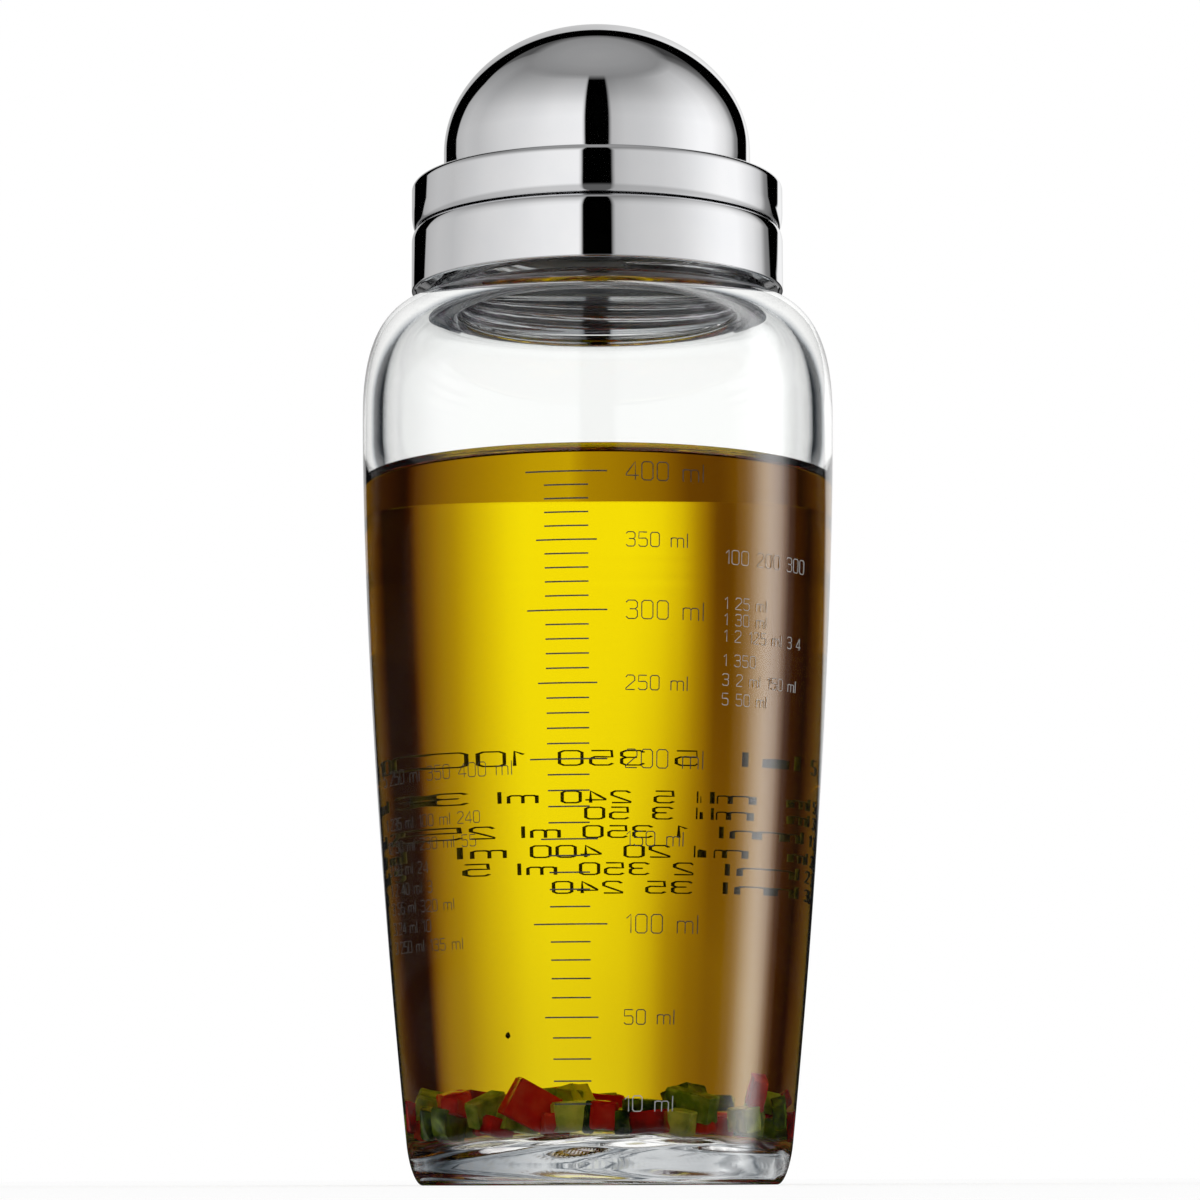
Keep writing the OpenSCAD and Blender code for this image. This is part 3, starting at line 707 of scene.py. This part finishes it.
red_pepper = bpy.data.objects["red_pepper"]
green_pepper = bpy.data.objects["green_pepper"]
red_pepper.data.materials.append(
    pepper_material("red_pepper_flesh", (0.22, 0.003, 0.001), (0.72, 0.008, 0.003), (0.9, 0.07, 0.03)))
green_pepper.data.materials.append(
    pepper_material("green_pepper_flesh", (0.012, 0.04, 0.002), (0.2, 0.28, 0.01), (0.75, 0.72, 0.12)))
for piece, cad_node in ((red_pepper, "red_pepper_dice"), (green_pepper, "green_pepper_dice")):
    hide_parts(cad_node)
    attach(piece, "bottle")

# %% [markdown]
# ## The herb fleck
#
# One dark crumb of dried herb floats low at the left. The CAD node holds a small block there. A
# crumb is a torn leaf, so it is modelled as a flattened ball with a ragged outline.

# %% Model the fleck
low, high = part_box("herb_fleck")
middle = (low + high) / 2
deselect()
bpy.ops.mesh.primitive_ico_sphere_add(subdivisions=2, radius=0.00055, location=middle)
fleck = bpy.context.object
fleck.name = "herb_crumb"
bpy.ops.object.mode_set(mode="EDIT")
bpy.ops.transform.resize(value=(0.62, 0.35, 1.05), center_override=middle)
bpy.ops.transform.vertex_random(offset=0.0003, seed=4)
bpy.ops.object.mode_set(mode="OBJECT")
bpy.ops.object.transform_apply(location=True, rotation=True, scale=True)
herb, tree, shader = new_material("dried_herb", Roughness=0.8)
mottle = object_noise(tree, 2500, 2.0)
tree.links.new(ramp(tree, mottle.outputs["Fac"], [(0.3, (0.01, 0.008, 0.002)), (0.7, (0.05, 0.035, 0.01))]),
               shader.inputs["Base Color"])
fleck.data.materials.append(herb)
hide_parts("herb_fleck")
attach(fleck, "bottle")

# %% [markdown]
# ## The polished lid
#
# The lid looks like three plain rings under a dome, but a mirror shows every curve: the ledge's
# edge is rounded, the two bands roll in where they meet and so make a soft groove, and the dome
# rises from a short straight wall. The sheets repeat the CAD curves with three times the points.

# %% Model the collar and the cap
LID_R, SHEET = 32.2, 0.7
COLLAR_Z, COLLAR_TOP = SHOULDER_Z + 1.3, RIM_Z + 0.9
CAP_Z = COLLAR_TOP + 0.25
LEDGE_Z = CAP_Z + 8.15
DOME_R, DOME_Z, DOME_H = LID_R - 5.55, LEDGE_Z + 5.5, 22.2
EDGE, ROLL_W, ROLL_H = 1.4, 0.7, 3.0
UPSTAND_R = 29.9

collar = lathe(
    "collar_sheet",
    [(LID_R - SHEET, COLLAR_Z)]
    + arc(LID_R - 0.35, COLLAR_Z + 0.35, 0.35, 0.35, 270, 360, 6)
    + arc(LID_R - 1.1, COLLAR_TOP - 2.3, 1.1, 2.3, 0, 90, 20)
    + [(UPSTAND_R + 0.1, COLLAR_TOP), (UPSTAND_R + 0.1, COLLAR_TOP - SHEET),
       (LID_R - SHEET - 0.6, COLLAR_TOP - SHEET), (LID_R - SHEET, COLLAR_TOP - 1.9), (LID_R - SHEET, COLLAR_Z)])
cap = lathe(
    "cap_sheet",
    arc(LID_R - ROLL_W, CAP_Z + ROLL_H, ROLL_W, ROLL_H, -90, 0, 20)
    + arc(LID_R - EDGE, LEDGE_Z - EDGE, EDGE, EDGE, 0, 90, 14)
    + arc(DOME_R + 0.5, LEDGE_Z + 0.5, 0.5, 0.5, 270, 180, 6)
    + [(DOME_R, LEDGE_Z + 3)]
    + arc(0, DOME_Z, DOME_R, DOME_H, 0, 90, 60)
    + arc(0, DOME_Z, DOME_R - SHEET, DOME_H - SHEET, 90, 0, 30)
    + [(DOME_R - SHEET, LEDGE_Z - SHEET)]
    + arc(LID_R - EDGE, LEDGE_Z - EDGE, EDGE - SHEET, EDGE - SHEET, 90, 0, 6)
    + arc(LID_R - SHEET - ROLL_W, CAP_Z + ROLL_H, ROLL_W, ROLL_H, 0, -90, 12)
    + [(LID_R - ROLL_W, CAP_Z)])

# %% Polished steel
steel, tree, shader = new_material("polished_steel", Metallic=1.0)
haze = object_noise(tree, 160, 3.0)
tree.links.new(map_range(tree, haze.outputs["Fac"], 0.3, 0.7, 0.018, 0.034), shader.inputs["Roughness"])
tree.links.new(ramp(tree, haze.outputs["Fac"], [(0.3, (0.80, 0.805, 0.82)), (0.7, (0.83, 0.83, 0.84))]),
               shader.inputs["Base Color"])
wave = object_noise(tree, 9, 1.0)
add_bump(tree, shader, wave.outputs["Fac"], 1.0, 0.00004)
for piece, cad_node, body in ((collar, "collar_shell", "collar"), (cap, "cap_shell", "cap")):
    piece.data.materials.append(steel)
    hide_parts(cad_node)
    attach(piece, body)

# %% [markdown]
# ## Inside the lid
#
# Under the polished sheets sits a turned steel ring with the thread, a silicone ring that seals on
# the rim, the pouring insert with its spout, and the cap's liner with the ring that closes the
# spout. They show when the lid is off, and through the shoulder one sees the steel thread behind
# the glass one. The steel ring is spun with fine rows so that its thread can be pressed in.

# %% Model the thread ring
RING_Z, RING_TOP = COLLAR_Z + 0.5, COLLAR_TOP - SHEET - 0.05
ROOT_R, SEAT_R = 29.0, 27.8
LIP_Z, LIP_TOP, UPSTAND_TOP = RIM_Z + 1.6, RIM_Z + 3.1, LEDGE_Z - 2.6
GRIP_Z = (LIP_TOP + UPSTAND_TOP) / 2
thread_rows = [RING_Z + 0.2 + (RIM_Z - 3 - RING_Z + 0.6) * i / 40 for i in range(41)]
ring = lathe(
    "steel_thread_ring",
    [(ROOT_R, z) for z in reversed(thread_rows)]
    + [(ROOT_R + 0.2, RING_Z), (31.3, RING_Z), (31.4, RING_Z + 0.1), (31.4, RING_TOP - 2.3), (30.3, RING_TOP),
       (UPSTAND_R, RING_TOP), (UPSTAND_R, GRIP_Z - 0.8), (28.3, GRIP_Z - 0.8), (28.3, GRIP_Z + 0.8),
       (UPSTAND_R, GRIP_Z + 0.8), (UPSTAND_R, UPSTAND_TOP - 0.6), (UPSTAND_R - 0.6, UPSTAND_TOP),
       (SEAT_R + 0.2, UPSTAND_TOP), (SEAT_R, UPSTAND_TOP - 0.2), (SEAT_R, LIP_TOP), (BORE_R + 0.7, LIP_TOP),
       (BORE_R + 0.6, LIP_TOP - 0.1), (BORE_R + 0.6, LIP_Z), (ROOT_R, LIP_Z), (ROOT_R, thread_rows[-1])])
raise_thread(ring, ROOT_R, -1.4, 1.3, 0.6, RING_Z + 0.25, RIM_Z - 2.7, 1.6)

# %% Model the insert, the liner and the silicone rings
INSERT_Z = LIP_TOP + 0.05
INSERT_TOP = INSERT_Z + 1.5
SPOUT_TOP = INSERT_TOP + 13.3
insert = lathe(
    "pouring_insert",
    [(8.5, SPOUT_TOP - 0.4), (8.5, INSERT_Z + 0.4), (8.9, INSERT_Z), (27.6, INSERT_Z), (27.7, INSERT_Z + 0.1),
     (27.7, INSERT_TOP - 0.1), (27.6, INSERT_TOP)]
    + arc(11.5, INSERT_TOP + 1.5, 1.5, 1.5, 270, 180)
    + [(10, SPOUT_TOP - 3), (11.35, SPOUT_TOP - 0.9)]
    + arc(11.1, SPOUT_TOP - 0.4, 0.4, 0.4, -20, 90, 5)
    + [(8.9, SPOUT_TOP), (8.5, SPOUT_TOP - 0.4)])
CUP_Z, CUP_R = SPOUT_TOP + 1.0, DOME_R - SHEET - 3.15
WEB_TOP, LINER_R, LINER_BORE = LEDGE_Z - 0.8, 31.4, UPSTAND_R + 0.3
liner = lathe(
    "cap_inner_liner",
    [(LINER_BORE, CAP_Z + 2.0), (LINER_BORE + 0.1, CAP_Z + 1.9), (LINER_R - 0.1, CAP_Z + 1.9),
     (LINER_R, CAP_Z + 2.0)]
    + arc(LINER_R - EDGE, WEB_TOP - EDGE, EDGE, EDGE, 0, 90, 6)
    + [(CUP_R + 0.4, WEB_TOP), (CUP_R, WEB_TOP + 0.4)]
    + arc(CUP_R - 0.5, CUP_Z + 1.0, 0.5, 0.5, 0, 90, 5)
    + [(0, CUP_Z + 1.5), (0, CUP_Z)]
    + [(CUP_R - 1.9, CUP_Z), (CUP_R - 1.5, CUP_Z - 0.4), (CUP_R - 1.5, WEB_TOP - 1.5),
       (LINER_BORE, WEB_TOP - 1.5), (LINER_BORE, CAP_Z + 2.0)])
gasket = lathe(
    "rim_seal_ring",
    arc(BORE_R + 0.3, RIM_Z + 0.35, 0.3, 0.3, 180, 270, 4) + arc(28.4, RIM_Z + 0.35, 0.3, 0.3, 270, 360, 4)
    + arc(28.4, RIM_Z + 1.25, 0.3, 0.3, 0, 90, 4) + arc(BORE_R + 0.3, RIM_Z + 1.25, 0.3, 0.3, 90, 180, 4)
    + [(BORE_R, RIM_Z + 0.35)])
grip = lathe("cap_grip_seal", arc(29.4, GRIP_Z, 0.75, 0.75, 0, 360, 20), 128)
spout_ring = lathe(
    "spout_seal_ring",
    arc(6.95, SPOUT_TOP + 0.25, 0.2, 0.2, 180, 270, 3) + arc(11.55, SPOUT_TOP + 0.25, 0.2, 0.2, 270, 360, 3)
    + arc(11.55, SPOUT_TOP + 0.8, 0.2, 0.2, 0, 90, 3) + arc(6.95, SPOUT_TOP + 0.8, 0.2, 0.2, 90, 180, 3)
    + [(6.75, SPOUT_TOP + 0.25)], 96)

# %% Materials of the inner pieces
def moulded(name, low_tone, high_tone, rough, sheen=0.0):
    """Moulded plastic or silicone: a slightly uneven tone over a fine grain."""
    mat, tree, shader = new_material(name, Roughness=rough, Sheen_Weight=sheen)
    cloud = object_noise(tree, 70, 3.0)
    tree.links.new(ramp(tree, cloud.outputs["Fac"], [(0.3, low_tone), (0.7, high_tone)]), shader.inputs["Base Color"])
    grain = object_noise(tree, 1600, 2.0)
    add_bump(tree, shader, grain.outputs["Fac"], 0.25, 0.00005)
    return mat


turned, tree, shader = new_material("turned_steel", Metallic=1.0)
marks = object_noise(tree, 30, 3.0, (1, 1, 60))
tree.links.new(map_range(tree, marks.outputs["Fac"], 0.3, 0.7, 0.05, 0.1), shader.inputs["Roughness"])
tree.links.new(ramp(tree, marks.outputs["Fac"], [(0.3, (0.6, 0.6, 0.61)), (0.7, (0.7, 0.7, 0.71))]),
               shader.inputs["Base Color"])
add_bump(tree, shader, marks.outputs["Fac"], 0.4, 0.00005)
silicone = moulded("milky_silicone", (0.74, 0.74, 0.72), (0.82, 0.82, 0.8), 0.45, 0.1)
INNER = (
    (ring, "thread_ring", "collar", "turned_steel", turned),
    (insert, "pour_insert", "collar", "insert_plastic",
     moulded("dark_insert_plastic", (0.025, 0.025, 0.027), (0.045, 0.045, 0.048), 0.38)),
    (liner, "cap_liner", "cap", "liner_plastic",
     moulded("pale_liner_plastic", (0.7, 0.7, 0.68), (0.78, 0.78, 0.76), 0.4)),
    (gasket, "neck_gasket", "gasket", "silicone", silicone),
    (grip, "cap_grip_ring", "collar", "silicone", silicone),
    (spout_ring, "spout_seal", "cap", "silicone", silicone))
for piece, cad_node, body, slot, mat in INNER:
    piece.data.materials.append(mat)
    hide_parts(cad_node)
    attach(piece, body)
    print(piece.name, "rides on", body)

# %% [markdown]
# ## Floor
#
# A wide pale plane carries the bottle and its soft shadow. It is hidden from mirror rays, because
# at this low viewpoint the lower half of the studio should look the same as its walls.

# %% The floor
def calc_share(tree, value, factor):
    made = node(tree, "ShaderNodeMath", operation="MULTIPLY")
    made.inputs[1].default_value = factor
    tree.links.new(value, made.inputs[0])
    return made.outputs[0]


deselect()
bpy.ops.mesh.primitive_plane_add(size=8)
floor = bpy.context.object
floor.name = "studio_floor"
paper, tree, shader = new_material("white_paper_floor", Roughness=0.9)
fibres = object_noise(tree, 60, 3.0)
tree.links.new(ramp(tree, fibres.outputs["Fac"], [(0.3, (0.985, 0.985, 0.985)), (0.7, (1.0, 1.0, 1.0))]),
               shader.inputs["Base Color"])
shine = node(tree, "ShaderNodeEmission", Color=(1, 1, 1, 1), Strength=1.0)
seen = node(tree, "ShaderNodeLightPath")
both = node(tree, "ShaderNodeMixShader")
tree.links.new(calc_share(tree, seen.outputs["Is Camera Ray"], 0.55), both.inputs[0])
tree.links.new(shader.outputs[0], both.inputs[1])
tree.links.new(shine.outputs[0], both.inputs[2])
tree.links.new(both.outputs[0], tree.nodes["Material Output"].inputs["Surface"])
floor.data.materials.append(paper)
floor.visible_glossy = False
floor.visible_transmission = False
floor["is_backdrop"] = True

# %% [markdown]
# ## A studio in the world shader
#
# A photographer lights such a bottle with a bright wall behind it, black cards close beside that
# wall, and a large white panel on either side of the camera. The black cards draw the dark lines
# along the edges of steel and oil, and the gap between the panels draws the black stripe down
# the front of the lid. The studio is described by directions instead of by objects: how far
# a ray's bearing is from straight back, and how high it climbs. That leaves nothing in the way of
# a camera that walks round the bottle. Glass is lit for what shines through it, and steel for
# what it mirrors, as two exposures of one product photo would be.

# %% Directions as numbers
world = bpy.data.worlds.new("studio")
bpy.context.scene.world = world
world.use_nodes = True
sky = world.node_tree
sky.nodes.clear()
direction = node(sky, "ShaderNodeTexCoord")
split = node(sky, "ShaderNodeSeparateXYZ")
sky.links.new(direction.outputs["Generated"], split.inputs[0])


def calc(operation, *values, clamp=False):
    """One maths node. Each value is a number or the output of another node."""
    made = node(sky, "ShaderNodeMath", operation=operation, use_clamp=clamp)
    for socket, value in zip(made.inputs, values):
        if isinstance(value, (int, float)):
            socket.default_value = value
        else:
            sky.links.new(value, socket)
    return made.outputs[0]


def profile(value, stops):
    """A soft curve through (value, brightness) stops, drawn as a colour ramp."""
    low, high = stops[0][0], stops[-1][0]
    scaled = map_range(sky, value, low, high, 0, 1)
    return ramp(sky, scaled, [((v - low) / (high - low), (b, b, b)) for v, b in stops])


def blend(share, first, second):
    """The first brightness where share is 0, the second where it is 1."""
    return calc("ADD", calc("MULTIPLY", first, calc("SUBTRACT", 1.0, share)), calc("MULTIPLY", second, share))


bearing = calc("MULTIPLY", calc("ARCTAN2", split.outputs["X"], split.outputs["Y"]), 180 / math.pi)
climb = calc("MULTIPLY", calc("ARCSINE", split.outputs["Z"]), 180 / math.pi)
print("the studio uses", len(sky.nodes), "nodes so far")

# %% What shines through the oil
narrowing = profile(climb, [(9, 1.0), (12, 1.0), (22, 0.5), (34, 0.2), (90, 0.1)])
wide_bearing = calc("MULTIPLY", bearing, narrowing)
upper_wall = profile(wide_bearing, [
    (-180, 0.7), (-145, 0.95), (-100, 0.35), (-75, 0.26), (-60, 0.08), (-52, 0.01), (-41, 0.05), (-37.5, 0.16),
    (-30, 0.26), (-26, 0.22), (-22.5, 0.13), (-20, 0.13), (-17.5, 0.27), (-15, 0.5), (-13, 0.71), (-9.3, 0.93),
    (-5, 1.0), (11, 1.0), (14, 0.93), (19.3, 0.7), (25.5, 0.435), (31.5, 0.28), (36.5, 0.14), (39, 0.03),
    (42, 0.01), (55, 0.01), (60, 0.06), (80, 0.3), (100, 0.35), (145, 0.95), (180, 0.7)])
lower_wall = profile(bearing, [
    (-180, 0.7), (-145, 0.95), (-100, 0.35), (-75, 0.3), (-60, 0.2), (-51, 0.02), (-44, 0.03), (-40, 0.12), (-35, 0.28),
    (-29, 0.31), (-25, 0.25), (-20, 0.22), (-15, 0.3), (-11, 0.45), (-8, 0.67), (-4, 0.84), (1, 0.9),
    (8, 0.92), (12, 0.87), (16, 0.74), (21, 0.59), (27, 0.4), (33, 0.31), (37.3, 0.17), (40.5, 0.01),
    (50, 0.02), (57, 0.08), (64, 0.06), (80, 0.3), (100, 0.35), (145, 0.95), (180, 0.7)])
seen_from_below = profile(bearing, [
    (-180, 0.8), (-145, 0.95), (-120, 0.7), (-90, 0.5), (-60, 0.1), (-45, 0.01), (-38, 0.1), (-31, 0.25), (-24, 0.18), (-20, 0.12), (-14, 0.14),
    (-9, 0.28), (-2, 0.38), (2, 0.42), (4, 0.58), (10, 0.54), (18, 0.39), (25, 0.28), (31, 0.18),
    (40, 0.01), (60, 0.05), (90, 0.5), (120, 0.7), (145, 0.95), (180, 0.8)])
up_the_wall = calc("MULTIPLY", calc("SUBTRACT", climb, 7.8), 0.4, clamp=True)
below_table = calc("MULTIPLY", calc("SUBTRACT", -2.0, climb), 0.25, clamp=True)
far_below = calc("MULTIPLY", calc("SUBTRACT", -13.0, climb), 0.25, clamp=True)
fall = profile(climb, [
    (0, 0.8), (6.2, 0.86), (7.6, 0.97), (9, 1.0), (20, 1.0), (30, 0.6), (38, 0.03), (64, 0.03), (90, 0.3)])
shown_wall = calc("MULTIPLY", blend(up_the_wall, lower_wall, upper_wall), fall)
path = node(sky, "ShaderNodeLightPath")
bounced = calc("GREATER_THAN", path.outputs["Glossy Depth"], 0.5)
straight_back = profile(calc("ABSOLUTE", bearing), [(0, 1.0), (50, 1.0), (70, 0.0), (180, 0.0)])
round_the_table = profile(bearing, [
    (-180, 0.4), (-144, 0.82), (-108, 0.36), (-72, 0.8), (-40, 0.4), (-16, 0.8), (16, 0.82), (40, 0.4), (72, 0.8),
    (108, 0.36), (144, 0.82), (180, 0.4)])
floor_light = calc(
    "SUBTRACT", round_the_table, calc("MULTIPLY", calc("MULTIPLY", bounced, straight_back), 0.8), clamp=True)
through_oil = calc(
    "MULTIPLY", blend(far_below, blend(below_table, shown_wall, seen_from_below), floor_light), 1.06)

# %% What shines through clear glass
clear_bearing = calc("MULTIPLY", bearing, blend(0.5, narrowing, 1.0))
clear_wall = profile(clear_bearing, [
    (-180, 1.0), (-100, 1.0), (-78, 0.6), (-72, 0.55), (-67, 0.55), (-64.5, 0.5), (-62, 0.1), (-59, 0.02), (-36, 0.01),
    (-31, 0.05), (-27, 0.6), (-23, 1.0), (23, 1.0), (27, 0.6), (30.5, 0.02), (57, 0.01), (61, 0.06),
    (64, 0.1), (67, 0.2), (71, 0.3), (76, 0.45), (84, 0.6), (100, 1.0), (180, 1.0)])
base_wall = profile(bearing, [
    (-180, 1.0), (-100, 1.0), (-60, 0.7), (-45, 0.4), (-32, 0.6), (-24, 0.55), (-14, 0.66), (0, 0.6),
    (10, 0.64), (17, 0.45), (24, 0.32), (32, 0.25), (40, 0.1), (50, 0.08), (60, 0.3), (80, 0.9), (180, 1.0)])
table_bands = profile(climb, [
    (-40, 1.0), (-26, 1.0), (-23, 0.3), (-20, 0.15), (-18, 0.9), (-13, 1.0), (-11, 0.3), (-9, 0.15), (-7.5, 1.1),
    (-5, 1.0), (-3.5, 0.3), (-2, 1.0), (1.5, 1.0), (2.6, 0.5), (4, 1.2), (6, 1.0), (90, 1.0)])
near_table = calc("MULTIPLY", calc("SUBTRACT", 5.5, climb), 0.4, clamp=True)
behind_glass = calc("MULTIPLY", blend(near_table, clear_wall, base_wall), table_bands)
through_glass = calc("MULTIPLY", behind_glass, 1.1)

# %% What the steel mirrors
panels = profile(bearing, [
    (-180, 0.0), (-170.9, 0.0), (-169.9, 1.04), (-147, 0.98), (-127, 0.86), (-105, 0.76), (-80, 0.6),
    (-64, 0.61), (-54, 0.55), (-45, 0.44), (-42, 0.2), (42, 0.1), (47, 0.19), (53, 0.26), (59, 0.66),
    (68, 0.9), (84, 1.15), (97, 1.14), (109, 1.04), (120, 0.9), (130, 0.79), (140, 0.72),
    (159, 0.65), (169.7, 0.55), (170.9, 0.0), (180, 0.0)])
fade_up = profile(climb, [(0, 1.0), (17, 1.0), (29, 0.9), (42, 0.67), (56, 0.48), (66, 0.38), (90, 0.3)])
ceiling = profile(climb, [(58, 0.26), (75, 0.34), (90, 0.36)])
overhead = calc("MULTIPLY", calc("SUBTRACT", climb, 57), 0.16, clamp=True)
mirrored = blend(overhead, calc("MULTIPLY", panels, fade_up), ceiling)
wall = Vector((0, math.cos(math.radians(24)), math.sin(math.radians(24))))
along = node(sky, "ShaderNodeVectorMath", operation="DOT_PRODUCT")
along.inputs[1].default_value = wall
sky.links.new(direction.outputs["Generated"], along.inputs[0])
off_wall = calc("MULTIPLY", calc("ARCCOSINE", along.outputs["Value"]), 180 / math.pi)
low_down = calc("MULTIPLY", calc("SUBTRACT", 20.0, climb), 0.1, clamp=True)
wider = profile(bearing, [(-180, 4.0), (-15, 4.0), (0, 0.0), (12, 2.0), (38, 16.5), (180, 16.5)])
card_edge = calc("ADD", calc("MULTIPLY", low_down, wider), 21.5)
gap_edge = profile(climb, [(0, 46.0), (15, 46.0), (28, 42.5), (38, 42.5), (56, 34.0), (90, 34.0)])
outside_cards = calc("MULTIPLY", calc("SUBTRACT", off_wall, gap_edge), 0.8, clamp=True)
inside_cards = calc("MULTIPLY", calc("SUBTRACT", card_edge, off_wall), 0.8, clamp=True)
rim = profile(bearing, [(-180, 0.5), (-20, 0.5), (0, 0.62), (20, 1.0), (180, 1.0)])
behind_table = calc("MULTIPLY", calc("SUBTRACT", -5.0, climb), 0.12, clamp=True)
steel_light = calc("ADD", calc("MULTIPLY", mirrored, outside_cards), calc("MULTIPLY", inside_cards, rim))
seen_in_steel = blend(behind_table, steel_light, calc("ADD", calc("MULTIPLY", panels, 0.55), 0.12))

# %% What clear glass mirrors
strip = profile(bearing, [
    (66, 0.0), (72, 0.3), (76, 1.4), (79, 2.8), (83, 4.1), (87.5, 4.8), (92, 4.1), (96, 2.7), (100, 1.2),
    (104, 0.4), (110, 0.0)])
glass_light = calc("ADD", calc("ADD", strip, 0.01), calc("MULTIPLY", inside_cards, rim))

# %% Send each kind of ray to its light
def grey(value):
    made = node(sky, "ShaderNodeCombineXYZ")
    for socket in made.inputs:
        sky.links.new(value, socket)
    return made.outputs[0]


def choose(share, first, second):
    """The first colour where share is 0, the second where it is 1."""
    made = node(sky, "ShaderNodeMix", data_type="VECTOR")
    sky.links.new(share, made.inputs[0])
    for socket, value in ((made.inputs[4], first), (made.inputs[5], second)):
        if isinstance(value, float):
            socket.default_value = (value, value, value)
        else:
            sky.links.new(value, socket)
    return made.outputs[1]


def tinted(value, red, green, blue):
    """A brightness as a colour: a power above 1 takes that channel away as the light falls."""
    made = node(sky, "ShaderNodeCombineXYZ")
    for socket, power in zip(made.inputs, (red, green, blue)):
        sky.links.new(calc("POWER", value, power), socket)
    return made.outputs[0]


def deeper(number):
    return calc("GREATER_THAN", path.outputs["Transmission Depth"], number)


crossed_oil = calc("ADD", calc("SUBTRACT", deeper(5.5), deeper(6.5)), deeper(8.5))
from_matt = calc("GREATER_THAN", path.outputs["Diffuse Depth"], 0.5)
mirror = choose(path.outputs["Is Singular Ray"], grey(seen_in_steel), grey(glass_light))
in_front = profile(calc("ABSOLUTE", bearing), [(0, 0.0), (94, 0.0), (104, 1.0), (180, 1.0)])
hidden = calc("SUBTRACT", 1.0, calc("MULTIPLY", bounced, in_front))
through_oil = calc("MULTIPLY", through_oil, hidden)
through_glass = blend(calc("MULTIPLY", bounced, in_front), through_glass, steel_light)
shine = choose(crossed_oil, tinted(through_glass, 1.06, 1.0, 0.94), tinted(through_oil, 1.0, 1.4, 1.0))
matt_light = profile(climb, [(-90, 0.1), (-5, 0.2), (12, 0.7), (40, 2.0), (90, 2.3)])
shine = choose(from_matt, shine, grey(matt_light))
light = choose(path.outputs["Is Glossy Ray"], 1.0, mirror)
light = choose(path.outputs["Is Transmission Ray"], light, shine)
light = choose(path.outputs["Is Camera Ray"], light, 1.0)
background = node(sky, "ShaderNodeBackground", Strength=1.0)
output = node(sky, "ShaderNodeOutputWorld")
sky.links.new(light, background.inputs["Color"])
sky.links.new(background.outputs[0], output.inputs["Surface"])
print("the studio uses", len(sky.nodes), "nodes")

# %% [markdown]
# ## Camera
#
# The photo was taken from table height, a little below the bottle's foot, with a long lens and
# tilted up. From there the rings of the lid curve upwards and the foot is almost a straight line.

# %% Camera and colour
deselect()
bpy.ops.object.camera_add(location=(0.0003, -0.75, 0.001))
camera = bpy.context.object
tilt = Euler((math.radians(90 + 7.497), 0, 0)).to_matrix()
camera.rotation_euler = (tilt @ Matrix.Rotation(math.radians(-0.17), 3, "Z")).to_euler()
camera.data.lens = 132
camera.data.sensor_width = 36
camera.data.clip_start = 0.01
scene = bpy.context.scene
scene.camera = camera
scene.view_settings.view_transform = "Standard"
scene.cycles.max_bounces = 24
scene.cycles.transmission_bounces = 24
scene.cycles.glossy_bounces = 8
scene.cycles.transparent_max_bounces = 16

# %% Measure the size of the scene and finish
low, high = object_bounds()
print("scene size in mm:", [round((h - l) * 1000, 2) for l, h in zip(low, high)])
